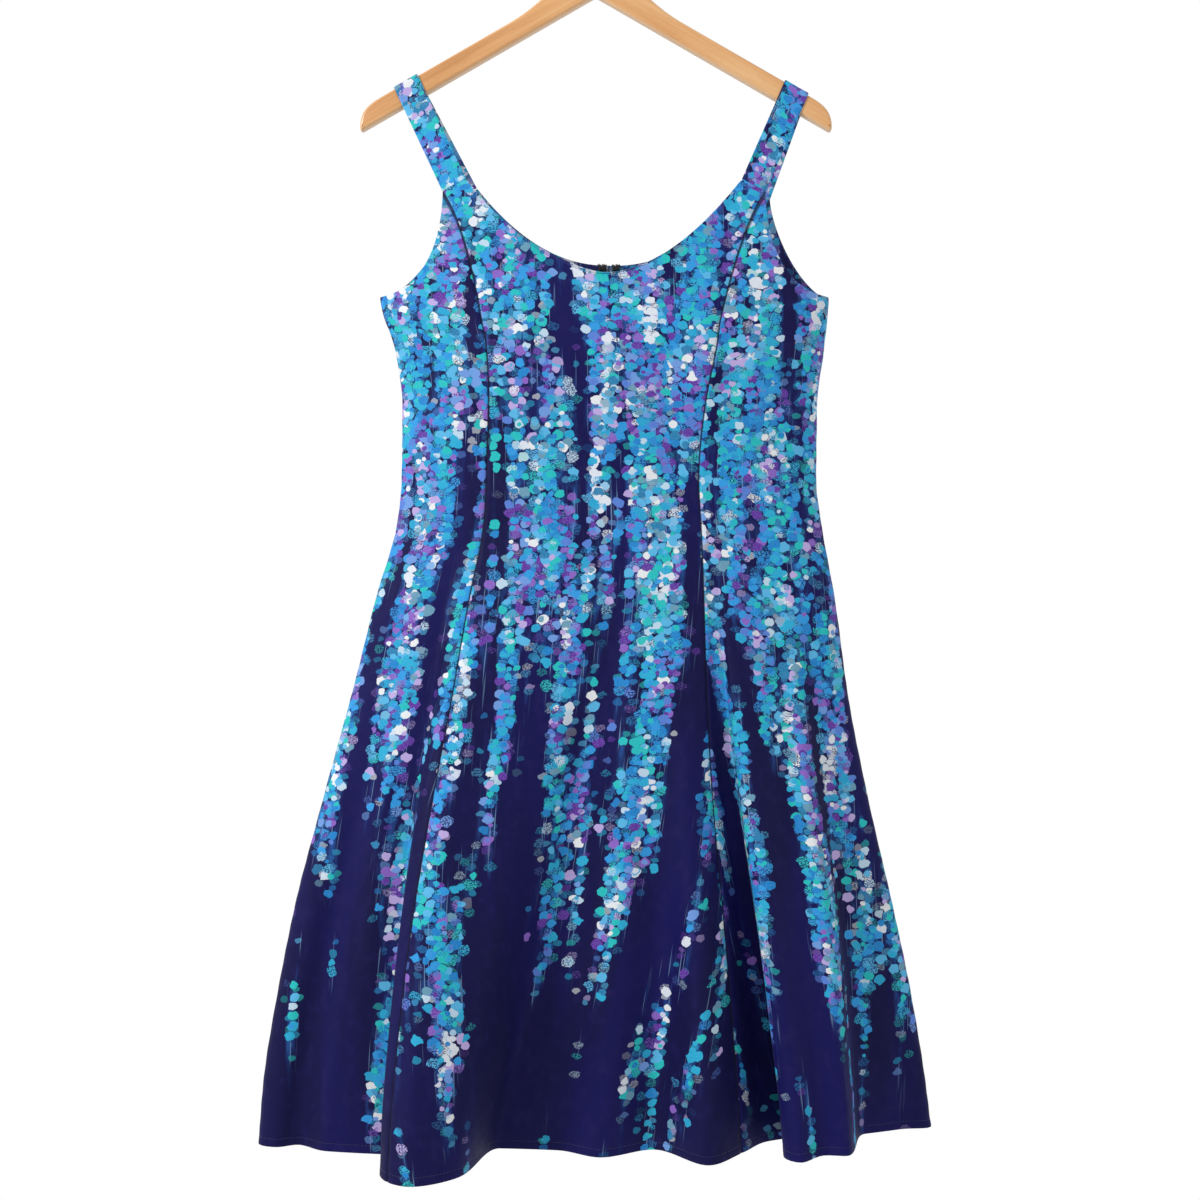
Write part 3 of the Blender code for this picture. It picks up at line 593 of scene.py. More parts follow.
class Graph:
    """Short ways of adding nodes to a material."""

    def __init__(self, tree):
        self.tree = tree

    def add(self, kind, inputs=None, **settings):
        node = self.tree.nodes.new(kind)
        for key, value in settings.items():
            setattr(node, key, value)
        for key, value in (inputs or {}).items():
            self.put(node.inputs[key], value)
        return node

    def put(self, socket, value):
        if isinstance(value, bpy.types.NodeSocket):
            self.tree.links.new(value, socket)
        else:
            socket.default_value = value

    def math(self, operation, a, b=0.0, c=0.0, clamp=False):
        node = self.add(
            "ShaderNodeMath", {0: a, 1: b, 2: c}, operation=operation, use_clamp=clamp
        )
        return node.outputs[0]

    def vector(self, operation, a, b=(0.0, 0.0, 0.0)):
        node = self.add("ShaderNodeVectorMath", {0: a, 1: b}, operation=operation)
        return node.outputs[0]

    def noise(self, at, scale, detail=2.0, roughness=0.5, dims="2D"):
        inputs = {"Vector": at, "Scale": scale, "Detail": detail, "Roughness": roughness}
        return self.add("ShaderNodeTexNoise", inputs, noise_dimensions=dims).outputs

    def blend(self, share, a, b, how="MIX"):
        node = self.add(
            "ShaderNodeMix",
            {0: share, 6: a, 7: b},
            data_type="RGBA",
            blend_type=how,
            clamp_factor=True,
        )
        return node.outputs[2]

    def ramp(self, at, stops, how="LINEAR"):
        node = self.add("ShaderNodeValToRGB", {0: at})
        bar = node.color_ramp
        bar.interpolation = how
        while len(bar.elements) < len(stops):
            bar.elements.new(0.5)
        for element, (place, colour) in zip(bar.elements, stops):
            element.position = place
            element.color = (*colour, 1.0)
        return node.outputs[0]

    def between(self, at, low, high):
        """0 below low, 1 above high and smooth between them."""
        node = self.add(
            "ShaderNodeMapRange",
            {"Value": at, "From Min": low, "From Max": high},
            interpolation_type="SMOOTHSTEP",
        )
        return node.outputs[0]


# The studio light is this much stronger than one in which a colour looks as it is given
LIGHT_GAIN = 1.85


def linear(red, green, blue):
    """A colour given as it looks on a screen in the studio's light, from 0 to 255, as a linear one."""
    made = []
    for value in (red, green, blue):
        v = value / 255
        v = v / 12.92 if v <= 0.04045 else ((v + 0.055) / 1.055) ** 2.4
        made.append(v / LIGHT_GAIN)
    return tuple(made)


NAVY = linear(10, 8, 88)
DEEP = linear(5, 4, 70)
DUSK = linear(28, 20, 90)
# The colour of the painted shade along the seams
PAINTED_SEAM_SHADE = linear(8, 8, 40)
MIST = linear(44, 104, 186)
HAIR = linear(150, 190, 232)
WHITE = linear(240, 246, 255)

# Colours of the spots, in the order in which drifts run from one to the next, and how many have each
SPOT_COLOURS = (
    (linear(104, 44, 166), 1.2),
    (linear(148, 100, 204), 0.7),
    (linear(92, 134, 226), 0.7),
    (linear(40, 162, 238), 1.5),
    (linear(12, 138, 216), 1.3),
    (linear(30, 182, 226), 1.5),
    (linear(20, 204, 202), 1.3),
    (linear(206, 232, 250), 0.5),
    (linear(92, 194, 244), 1.4),
    (linear(34, 132, 184), 0.8),
    (linear(112, 164, 190), 0.6),
    (linear(252, 254, 255), 0.5),
    (linear(204, 180, 238), 0.6),
    (linear(24, 174, 222), 1.1),
    (linear(118, 164, 236), 0.7),
)

# Layers of spots, from below up: their size across and down, where their cells start, how much of a cell
# a spot fills, how thick they lie, how many of them are printed thin and speckled, and how opaque they are
Spots = namedtuple("Spots", "across down start fill lie thin cover")
SPOTS = (
    Spots(12.0, 9.0, 91.3, 0.36, 0.03, 0.45, 0.40),
    Spots(11.5, 10.0, 3.7, 0.43, -0.01, 0.22, 0.97),
    Spots(10.5, 9.6, 17.3, 0.35, -0.05, 0.14, 0.97),
    Spots(7.4, 6.4, 41.9, 0.36, -0.09, 0.20, 0.97),
    Spots(12.5, 9.4, 67.1, 0.34, -0.11, 0.16, 0.97),
)

# How much more thickly the spots lie at a distance down the cloth, in metres
THINNING = (
    (0.02, 0.12),
    (0.17, 0.065),
    (0.30, 0.03),
    (0.45, 0.015),
    (0.60, -0.02),
    (0.75, -0.165),
    (0.90, -0.235),
)


def drifts(g, at):
    """How thickly spots lie at a place: long upright drifts that thin out towards the hem."""
    across, down = g.add("ShaderNodeSeparateXYZ", {0: at}).outputs[:2]
    sway = g.noise(g.vector("MULTIPLY", at, (3.2, 1.7, 0.0)), 1.0, 1.5)[0]
    turn = g.math("MULTIPLY_ADD", sway, 15.0, g.math("MULTIPLY", across, 104.0))
    row = g.math("MULTIPLY_ADD", g.math("SINE", turn), 0.085, 0.10)
    broad = g.noise(g.vector("MULTIPLY", at, (26.0, 2.0, 0.0)), 1.0, 1.5, 0.6)[0]
    broad = g.math("MULTIPLY_ADD", broad, 0.8, row)
    fine = g.noise(g.vector("MULTIPLY", at, (80.0, 8.0, 0.0)), 1.0, 1.0)[0]
    thick = g.math("MULTIPLY_ADD", g.math("SUBTRACT", fine, 0.5), 0.36, broad)
    thins = g.ramp(down, [(place, ((more + 0.25) / 0.4,) * 3) for place, more in THINNING])
    thick = g.math("ADD", thick, g.math("MULTIPLY_ADD", thins, 0.4, -0.25))
    runs = g.noise(g.vector("MULTIPLY", at, (10.0, 0.5, 0.0)), 1.0, 1.0)[0]
    runs = g.math("MULTIPLY", g.math("SUBTRACT", runs, 0.47), g.between(down, 0.5, 0.85))
    return g.math("MULTIPLY_ADD", runs, 0.55, thick)


def spots(g, at, kind, ground):
    """One layer of spots printed over what lies below it."""
    size = (kind.across * MM, kind.down * MM)
    warp = g.noise(g.vector("MULTIPLY", at, (170.0, 170.0, 0.0)), 1.0, 1.0)[1]
    warp = g.vector("MULTIPLY", g.vector("SUBTRACT", warp, (0.5, 0.5, 0.5)), (0.34, 0.34, 0.0))
    cells = g.vector("MULTIPLY", at, (1 / size[0], 1 / size[1], 0.0))
    cells = g.vector("ADD", cells, (kind.start, kind.start * 1.7, 0.0))
    cells = g.vector("ADD", cells, warp)
    found = g.add(
        "ShaderNodeTexVoronoi",
        {"Vector": cells, "Scale": 1.0, "Randomness": 0.86},
        voronoi_dimensions="2D",
    ).outputs
    centre = g.vector("SUBTRACT", found["Position"], (kind.start, kind.start * 1.7, 0.0))
    centre = g.vector("MULTIPLY", centre, (size[0], size[1], 0.0))
    chance, tint, wear = g.add("ShaderNodeSeparateColor", {0: found["Color"]}).outputs[:3]
    thick = drifts(g, centre)
    printed = g.between(
        g.math("MULTIPLY_ADD", g.math("SUBTRACT", chance, 0.5), -0.12, thick),
        0.475 - kind.lie,
        0.485 - kind.lie,
    )
    reach = g.math("MULTIPLY_ADD", wear, 0.20, kind.fill - 0.09)
    inside = g.between(g.math("SUBTRACT", reach, found["Distance"]), -0.02, 0.02)
    family = g.noise(g.vector("MULTIPLY", centre, (24.0, 7.5, 0.0)), 1.0, 1.5, 0.6)[0]
    family = g.math("MULTIPLY_ADD", family, 3.2, -1.1)
    place = g.math("FRACT", g.math("MULTIPLY_ADD", g.math("SUBTRACT", tint, 0.5), 0.34, family))
    total = sum(share for _, share in SPOT_COLOURS)
    stops, start = [], 0.0
    for colour, share in SPOT_COLOURS:
        stops.append((start / total, colour))
        start += share
    colour = g.ramp(place, stops, "CONSTANT")
    bright = g.noise(g.vector("MULTIPLY", centre, (44.0, 9.0, 0.0)), 1.0, 1.0)[0]
    bright = g.math("MULTIPLY", g.between(bright, 0.67, 0.71), g.math("GREATER_THAN", tint, 0.45))
    colour = g.blend(bright, colour, (*WHITE, 1.0))
    speckle = g.noise(g.vector("MULTIPLY", at, (620.0, 820.0, 0.0)), 1.0, 1.5)[0]
    colour = g.blend(g.math("MULTIPLY", g.between(speckle, 0.42, 0.66), 0.16), colour, (*HAIR, 1.0))
    worn = g.math("MULTIPLY", g.math("GREATER_THAN", wear, 1.0 - kind.thin), g.between(speckle, 0.56, 0.46))
    cover = g.math("MULTIPLY_ADD", worn, -0.85 * kind.cover, kind.cover)
    cover = g.math("MULTIPLY", g.math("MULTIPLY", printed, inside), cover)
    return g.blend(cover, ground, colour)


def weave(g, at, strength=0.12):
    """The crossing threads of the cloth, as a bump."""
    threads = []
    for direction in ("X", "Y"):
        wave = g.add(
            "ShaderNodeTexWave",
            {"Vector": at, "Scale": 330.0, "Distortion": 0.6, "Detail": 1.0},
            bands_direction=direction,
        )
        threads.append(wave.outputs["Fac"])
    both = g.math("MAXIMUM", threads[0], threads[1])
    slub = g.noise(g.vector("MULTIPLY", at, (900.0, 120.0, 0.0)), 1.0, 2.0)[0]
    height = g.math("MULTIPLY_ADD", slub, 0.7, both)
    bump = g.add("ShaderNodeBump", {"Strength": strength, "Distance": 0.0002, "Height": height})
    return bump.outputs[0]


def shader_of(made, **values):
    shader = made.node_tree.nodes["Principled BSDF"]
    for key, value in values.items():
        shader.inputs[key.replace("_", " ")].default_value = value
    return shader


def cloth_material(name, reverse=False):
    """The printed cotton, or its paler and duller wrong side."""
    made = bpy.data.materials.new(name)
    made.use_nodes = True
    g = Graph(made.node_tree)
    at = g.add("ShaderNodeUVMap", uv_map="cloth").outputs[0]
    shade = g.noise(g.vector("MULTIPLY", at, (14.0, 3.0, 0.0)), 1.0, 3.0)[0]
    colour = g.blend(g.between(shade, 0.35, 0.65), (*DEEP, 1.0), (*NAVY, 1.0))
    mottle = g.noise(g.vector("MULTIPLY", at, (85.0, 60.0, 0.0)), 1.0, 3.0, 0.6)[0]
    colour = g.blend(g.math("MULTIPLY", g.between(mottle, 0.48, 0.72), 0.45), colour, (*DUSK, 1.0))
    thick = drifts(g, at)
    cloud = g.noise(g.vector("MULTIPLY", at, (110.0, 26.0, 0.0)), 1.0, 3.0, 0.65)[0]
    haze = g.math("MULTIPLY", g.between(thick, 0.42, 0.56), g.between(cloud, 0.42, 0.72))
    colour = g.blend(g.math("MULTIPLY", haze, 0.6), colour, (*MIST, 1.0))
    hairs = g.noise(g.vector("MULTIPLY", at, (560.0, 14.0, 0.0)), 1.0, 1.0)[0]
    hairs = g.math("MULTIPLY", g.between(hairs, 0.68, 0.75), g.between(thick, 0.40, 0.48))
    colour = g.blend(g.math("MULTIPLY", hairs, 0.45), colour, (*HAIR, 1.0))
    for kind in SPOTS:
        colour = spots(g, at, kind, colour)
    if reverse:
        colour = g.blend(0.30, colour, (*linear(60, 62, 128), 1.0))
    # Painted shade: the cloth is darkened within about a millimetre of each seam, where the seam's groove
    # would lie in shade
    gap = g.add("ShaderNodeSeparateXYZ", {0: g.add("ShaderNodeUVMap", uv_map="edges").outputs[0]})
    seam_shade_mask = g.between(gap.outputs[0], SEAM_SHADE_REACH[1] * MM, SEAM_SHADE_REACH[0] * MM)
    colour = g.blend(g.math("MULTIPLY", seam_shade_mask, 0.85), colour, (*PAINTED_SEAM_SHADE, 1.0))
    shader = shader_of(made, Specular_IOR_Level=0.12, Sheen_Weight=0.02, Sheen_Roughness=0.45)
    g.put(shader.inputs["Base Color"], colour)
    rough = g.noise(g.vector("MULTIPLY", at, (90.0, 90.0, 0.0)), 1.0, 2.0)[0]
    g.put(shader.inputs["Roughness"], g.math("MULTIPLY_ADD", rough, 0.16, 0.58))
    g.put(shader.inputs["Normal"], weave(g, at))
    return made


def thread_material(name, colour):
    made = bpy.data.materials.new(name)
    made.use_nodes = True
    g = Graph(made.node_tree)
    at = g.add("ShaderNodeTexCoord").outputs["Object"]
    fuzz = g.noise(at, 2600.0, 2.0, dims="3D")[0]
    darker = tuple(v * 0.6 for v in colour)
    shader = shader_of(made, Sheen_Weight=0.25, Specular_IOR_Level=0.25)
    g.put(shader.inputs["Base Color"], g.blend(g.between(fuzz, 0.3, 0.7), (*darker, 1.0), (*colour, 1.0)))
    g.put(shader.inputs["Roughness"], g.math("MULTIPLY_ADD", fuzz, 0.2, 0.65))
    bump = g.add("ShaderNodeBump", {"Strength": 0.4, "Distance": 0.0001, "Height": fuzz})
    g.put(shader.inputs["Normal"], bump.outputs[0])
    return made


def wood_material():
    """Honey-coloured wood whose grain runs along each arm, under a satin varnish, with painted light on its
    rounded edges.
    """
    made = bpy.data.materials.new("varnished_beech")
    made.use_nodes = True
    g = Graph(made.node_tree)
    at = g.add("ShaderNodeUVMap", uv_map="grain").outputs[0]
    drift = g.noise(g.vector("MULTIPLY", at, (6.0, 60.0, 0.0)), 1.0, 3.0)[0]
    rings = g.noise(g.vector("MULTIPLY", at, (9.0, 420.0, 0.0)), 1.0, 4.0, 0.6)[0]
    pores = g.noise(g.vector("MULTIPLY", at, (160.0, 2600.0, 0.0)), 1.0, 2.0)[0]
    colour = g.ramp(
        g.math("MULTIPLY_ADD", g.math("SUBTRACT", rings, 0.5), 0.5, drift),
        [(0.2, linear(212, 146, 82)), (0.5, linear(236, 174, 110)), (0.8, linear(248, 196, 136))],
    )
    deep = g.add("ShaderNodeSeparateXYZ", {0: g.add("ShaderNodeTexCoord").outputs["Object"]}).outputs[1]
    # Painted light: the board's rounded edges and the rim between them are blended towards a pale colour, as
    # if lit from below, and their pores are drawn less dark
    side = g.between(g.math("ABSOLUTE", deep), 0.0058, 0.0046)
    dark = g.math("MULTIPLY", g.between(pores, 0.62, 0.74), g.math("MULTIPLY_ADD", side, -0.18, 0.2))
    colour = g.blend(dark, colour, (*linear(150, 92, 46), 1.0))
    colour = g.blend(g.math("MULTIPLY", side, 0.7), colour, (*linear(255, 214, 170), 1.0))
    shader = shader_of(made, Coat_Weight=0.35, Coat_Roughness=0.22, Specular_IOR_Level=0.4)
    g.put(shader.inputs["Base Color"], colour)
    g.put(shader.inputs["Roughness"], g.math("MULTIPLY_ADD", rings, 0.2, 0.34))
    height = g.math("MULTIPLY_ADD", pores, -0.5, rings)
    flat_face = g.between(g.math("ABSOLUTE", deep), 0.0056, 0.0060)
    height = g.math("MULTIPLY", height, flat_face)
    bump = g.add("ShaderNodeBump", {"Strength": 0.05, "Distance": 0.0002, "Height": height})
    g.put(shader.inputs["Normal"], bump.outputs[0])
    return made


def metal_material(name, colour, metallic, rough, scratches):
    made = bpy.data.materials.new(name)
    made.use_nodes = True
    g = Graph(made.node_tree)
    at = g.add("ShaderNodeTexCoord").outputs["Object"]
    smear = g.noise(at, 90.0, 3.0, dims="3D")[0]
    fine = g.noise(at, 1500.0, 2.0, dims="3D")[0]
    shader = shader_of(made, Metallic=metallic)
    worn = tuple(min(1.0, v * 1.5 + 0.02) for v in colour)
    g.put(shader.inputs["Base Color"], g.blend(g.between(smear, 0.5, 0.8), (*colour, 1.0), (*worn, 1.0)))
    g.put(shader.inputs["Roughness"], g.math("MULTIPLY_ADD", smear, scratches, rough))
    bump = g.add("ShaderNodeBump", {"Strength": 0.08, "Distance": 0.0001, "Height": fine})
    g.put(shader.inputs["Normal"], bump.outputs[0])
    return made


COTTON = cloth_material("printed_cotton_face")
COTTON_BACK = cloth_material("printed_cotton_reverse", reverse=True)
NAVY_THREAD = thread_material("navy_thread", linear(38, 34, 96))
BLACK_THREAD = thread_material("black_thread", linear(14, 14, 18))
WOOD = wood_material()
STEEL = metal_material("plated_steel", (0.46, 0.46, 0.48), 1.0, 0.16, 0.2)
BLACK_LACQUER = metal_material("black_lacquer", (0.015, 0.015, 0.02), 0.5, 0.30, 0.25)

BODY = "dress_on_hanger"


def place(piece, node, slot):
    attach(piece, BODY)
    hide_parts(node)
    return piece


def declare_sheet(piece, outer, uv):
    size = [float(np.ptp(uv[..., axis])) for axis in (0, 1)]
    step_across = np.linalg.norm(np.diff(outer, axis=1), axis=-1)[:-1]
    step_down = np.linalg.norm(np.diff(outer, axis=0), axis=-1)[:, :-1]
    area = float((step_across * step_down).sum()) * MM * MM
    area = min(area, size[0] * size[1])
    area = max(area, 0.31 * size[0] * size[1])
    print("SHEET", piece.name, "%.0f x %.0f mm, %.3f m2" % (size[0] * 1000, size[1] * 1000, area))


def join_segments(name, segments, thick, finish, sides=6):
    """Short rounded stitches of thread, each from one point to another with its direction out."""
    vertices, faces = [], []
    profile = ((0.0, 0.35), (0.18, 0.9), (0.5, 1.0), (0.82, 0.9), (1.0, 0.35))
    for start, end, out in segments:
        start, end, out = Vector(start), Vector(end), Vector(out)
        run = (end - start).normalized()
        across = run.cross(out).normalized()
        base = len(vertices)
        for share, swell in profile:
            centre = start.lerp(end, share)
            for k in range(sides):
                angle = 2 * math.pi * k / sides
                ray = across * math.cos(angle) + out * math.sin(angle) * 0.7
                vertices.append((centre + ray * (thick / 2 * swell)) * MM)
        rings = len(profile)
        for r in range(rings - 1):
            for k in range(sides):
                a = base + r * sides + k
                b = base + r * sides + (k + 1) % sides
                faces.append((a, b, b + sides, a + sides))
        faces.append(tuple(base + k for k in reversed(range(sides))))
        faces.append(tuple(base + (rings - 1) * sides + k for k in range(sides)))
    mesh = bpy.data.meshes.new(name)
    mesh.from_pydata(vertices, [], faces)
    mesh.materials.append(finish)
    mesh.shade_smooth()
    made = bpy.data.objects.new(name, mesh)
    bpy.context.scene.collection.objects.link(made)
    return made


def stitches_along(line, outward, pitch, long, lift):
    """Stitches laid end to end along a line of points."""
    step = np.linalg.norm(np.diff(line, axis=0), axis=1)
    run = np.concatenate([[0.0], np.cumsum(step)])
    count = int(run[-1] / pitch)
    segments = []
    for i in range(count):
        ends = []
        for at in (i * pitch + 0.6, i * pitch + 0.6 + long):
            here = [float(np.interp(at, run, line[:, axis])) for axis in range(3)]
            ends.append(here)
        out = [float(np.interp(i * pitch, run, outward[:, axis])) for axis in range(3)]
        out = Vector(out).normalized()
        segments.append((Vector(ends[0]) + out * lift, Vector(ends[1]) + out * lift, out))
    return segments


def build_panels():
    for name, start, end in PANELS:
        panel = Panel(name, start, end)
        piece = shell(
            name + "_cloth",
            panel.points,
            panel.outward,
            panel.thickness(),
            panel.uv,
            panel.from_seams(),
            (COTTON, COTTON_BACK),
        )
        row = -1 - HEM_ROWS[::-1].index(HEM_STITCH_UP)
        segments = stitches_along(
            panel.points[row], panel.outward[row], STITCH_PITCH, STITCH_LONG, 0.12
        )
        hem = join_segments(name + "_hem_stitches", segments, STITCH_THICK, NAVY_THREAD)
        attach(hem, BODY)
        place(piece, name, "printed_cotton")
        declare_sheet(piece, panel.points, panel.uv)


def hanger_top(x):
    edge = HANGER_APEX_Z + ARM_WIDTH / math.cos(HANGER_SLOPE)
    return edge - abs(x) * math.tan(HANGER_SLOPE)


def strap_path(inset):
    """Out and drop of the strap's outer face where it wraps the arm, in fine steps."""
    face = HANGER_THICK / 2 + SEAM_GAP + CLOTH - inset
    top = SEAM_GAP + CLOTH - inset
    corner = 3.3 - inset
    arc = [math.radians(a) for a in range(0, 91, 10)]
    front = [(face, ARM_WIDTH + 2 - 4 * k) for k in range(5)]
    front += [
        (face - corner * (1 - math.cos(a)), corner - top - corner * math.sin(a))
        for a in arc
    ]
    return front + [(1.2, -top)] + [(-out, drop) for out, drop in reversed(front)]


def strap_edge(hand, share, side):
    top_x = STRAP_TOP_CENTRE_X + hand * mix(STRAP_TOP_OUTER, STRAP_TOP_INNER, share)
    foot = Vector(JOIN_OUTER).lerp(Vector(JOIN_INNER), share)
    foot.x = centre_x(side) + hand * foot.x
    return Vector((top_x, hanger_top(top_x))), foot


def build_strap(name, hand):
    shares = np.array([0.0, 0.02, 0.06, 0.12, 0.22, 0.35, 0.5, 0.65, 0.78, 0.88, 0.94, 0.98, 1.0])
    if hand > 0:
        shares = shares[::-1]
    inset = 0.15
    wrap = strap_path(inset)
    free = 14
    lines = []
    for side in (1, -1):
        part = []
        for step in range(free + 1):
            line = []
            for share in shares:
                top, foot = strap_edge(hand, share, side)
                down = (foot - top).normalized()
                near_out, near_drop = wrap[0] if side > 0 else wrap[-1]
                near = top + down * near_drop
                end = foot - down * 0.15
                t = step / free
                at = end.lerp(near, t)
                foot_out = -float(yoke_point(end.x, end.y, side)[1])
                ripple = 0.35 * math.sin(t * 7.0 + 2.0 * share + hand) * math.sin(math.pi * t)
                out = mix(foot_out, near_out, t) + side * ripple
                line.append((at.x, -out, at.y))
            part.append(line)
        if side > 0:
            lines += part
            for out, drop in wrap[1:-1]:
                line = []
                for share in shares:
                    top, foot = strap_edge(hand, share, math.copysign(1, out))
                    down = (foot - top).normalized()
                    at = top + down * drop
                    line.append((at.x, -out, at.y))
                lines.append(line)
        else:
            lines += part[::-1]
    outer = np.array(lines)[::-1]
    outward = Panel.directions(outer)
    across = np.concatenate(
        [np.zeros((len(outer), 1)), np.cumsum(np.linalg.norm(np.diff(outer, axis=1), axis=-1), 1)], 1
    )
    down = np.cumsum(
        np.concatenate([[0.0], np.linalg.norm(np.diff(outer[:, 6], axis=0), axis=-1)])
    )
    width = across[:, -1:]
    edge_gap = np.minimum(across, width - across)
    outer = outer + outward * (0.2 * np.exp(-((edge_gap - 2.6) ** 2) / 1.2) - 0.1)[..., None]
    start = CUT_FROM[name]
    uv = np.stack([across * MM + start[0], np.repeat(down[:, None], len(shares), 1) * MM + start[1]], -1)
    thick = np.full(outer.shape[:2], 1.15)
    thick[:, 0] = thick[:, -1] = 0.35
    thick[:, 1] = thick[:, -2] = 0.85
    piece = shell(
        name + "_cloth", outer, outward, thick, uv, np.full(outer.shape[:2], 0.01), (COTTON, COTTON)
    )
    place(piece, name, "printed_cotton")
    declare_sheet(piece, outer, uv)


def bezier(points, count):
    a, b, c, d = (Vector(p) for p in points)
    return [
        a.lerp(b, t).lerp(b.lerp(c, t), t).lerp(b.lerp(c, t).lerp(c.lerp(d, t), t), t)
        for t in (i / count for i in range(count))
    ]


def hanger_outline():
    """The right half of the hanger seen from the front, from the apex of the V round to the neck."""
    down = Vector((math.cos(HANGER_SLOPE), -math.sin(HANGER_SLOPE)))
    normal = Vector((math.sin(HANGER_SLOPE), math.cos(HANGER_SLOPE)))
    apex = Vector((0.0, HANGER_APEX_Z))
    length = HANGER_HALF / down.x
    under = apex + down * (length - 4)
    tip = apex + down * (length - 0.5) + Vector((0.5, 5.0))
    end_start = apex + normal * ARM_WIDTH + down * (length - 33)
    flare = apex + normal * ARM_WIDTH + down * 82.0
    neck = Vector((HANGER_NECK_HALF, HANGER_TOP_Z - 3.0))
    start = apex + down * 5
    points = bezier((apex, apex + down * 1.5, start - down * 1.5, start), 2)
    points += bezier((start, start.lerp(under, 0.3), start.lerp(under, 0.7), under), 24)
    points += bezier((under, under + down * 3, tip - Vector((0, 3)), tip), 6)
    points += bezier((tip, tip + Vector((0, 13)), end_start + down * 15, end_start), 16)
    points += bezier((end_start, end_start.lerp(flare, 0.3), end_start.lerp(flare, 0.7), flare), 20)
    points += bezier((flare, flare - down * 26, neck + Vector((10, -34)), neck), 20)
    points += [neck, Vector((HANGER_NECK_HALF - 3.0, HANGER_TOP_Z))]
    return points


def build_hanger():
    """The wood as one board with rounded edges, its grain laid along each arm."""
    half = hanger_outline()
    outline = half + [Vector((-p.x, p.y)) for p in reversed(half[1:])]
    count = len(outline)
    edge = HANGER_THICK / 2
    # Rings of the board's rounded edge: how far in from the outline, and how far from its middle
    radius = 3.2
    rings = []
    for k in range(6):
        angle = math.radians(90 * k / 5)
        rings.append((radius * (1 - math.sin(angle)), edge - radius * (1 - math.cos(angle))))
    rings = rings + [(inset, -y) for inset, y in reversed(rings)]
    inward = []
    for i, p in enumerate(outline):
        along = (outline[(i + 1) % count] - outline[i - 1]).normalized()
        inward.append(Vector((-along.y, along.x)))
    vertices = []
    for inset, y in rings:
        for p, n in zip(outline, inward):
            at = p + n * inset
            vertices.append(Vector((at.x, -y, at.y)) * MM)
    faces = []
    for r in range(len(rings) - 1):
        for i in range(count):
            j = (i + 1) % count
            faces.append((r * count + i, r * count + j, (r + 1) * count + j, (r + 1) * count + i))
    end = (len(rings) - 1) * count
    cap = [p + n * radius for p, n in zip(outline, inward)]
    for a, b, c in tessellate_polygon([[(p.x, p.y, 0.0) for p in cap]]):
        area = (cap[b] - cap[a]).cross(cap[c] - cap[a])
        a, c = (a, c) if area > 0 else (c, a)
        faces.append((c, b, a))
        faces.append((end + a, end + b, end + c))
    mesh = bpy.data.meshes.new("hanger_wood")
    mesh.from_pydata(vertices, [], faces)
    mesh.materials.append(WOOD)
    layer = mesh.uv_layers.new(name="grain")
    for loop in mesh.loops:
        p = mesh.vertices[loop.vertex_index].co
        along = abs(p.x) * math.cos(HANGER_SLOPE) - p.z * math.sin(HANGER_SLOPE)
        across = p.z * math.cos(HANGER_SLOPE) + abs(p.x) * math.sin(HANGER_SLOPE)
        offset = 0.7 if p.x < 0 else 0.0
        layer.data[loop.index].uv = (along + offset, across + p.y * 0.6)
    mesh.shade_smooth()
    mesh.set_sharp_from_angle(angle=math.radians(50))
    made = bpy.data.objects.new("hanger_wood", mesh)
    bpy.context.scene.collection.objects.link(made)
    place(made, "hanger_arms", "varnished_wood")


def hook_path():
    """The wire's centre line: up out of the wood, round the loop, to the tip."""
    radius = HOOK_INSIDE + HOOK_WIRE / 2
    centre = Vector((0.0, -HOOK_INSIDE))
    foot = Vector((0.0, HANGER_TOP_Z + SEAM_GAP))
    lead = math.radians(-62)
    join = centre + Vector((math.cos(lead), math.sin(lead))) * radius
    along = Vector((-math.sin(lead), math.cos(lead)))
    shank = foot + Vector((0.0, 9.0))
    path = [foot, foot.lerp(shank, 0.5), shank]
    path += bezier((shank, shank + Vector((0, 6)), join - along * 6, join), 16)[1:]
    for i in range(61):
        angle = lead + math.radians(232) * i / 60
        path.append(centre + Vector((math.cos(angle), math.sin(angle))) * radius)
    return path


def wire(name, path, y, thick, around, finish, ridge=0.0, turns=0.0):
    """A round wire in an upright plane, with rounded ends and, if asked, the ridges of wound thread."""
    last = len(path) - 1
    vertices, faces = [], []
    for i, p in enumerate(path):
        along = (path[min(last, i + 1)] - path[max(0, i - 1)]).normalized()
        radius = thick / 2 * (0.55 if i in (0, last) else 1.0)
        for k in range(around):
            angle = 2 * math.pi * k / around
            wound = 1 + ridge * math.sin(turns * 2 * math.pi * i / last + angle)
            sideways = radius * wound * math.cos(angle)
            at = p + Vector((-along.y, along.x)) * sideways
            vertices.append(Vector((at.x, y + radius * wound * math.sin(angle), at.y)) * MM)
    for i in range(last):
        for k in range(around):
            a = i * around + k
            b = i * around + (k + 1) % around
            faces.append((a, a + around, b + around, b))
    faces.append(tuple(range(around)))
    faces.append(tuple(last * around + k for k in reversed(range(around))))
    mesh = bpy.data.meshes.new(name)
    mesh.from_pydata(vertices, [], faces)
    mesh.materials.append(finish)
    mesh.shade_smooth()
    made = bpy.data.objects.new(name, mesh)
    bpy.context.scene.collection.objects.link(made)
    return made


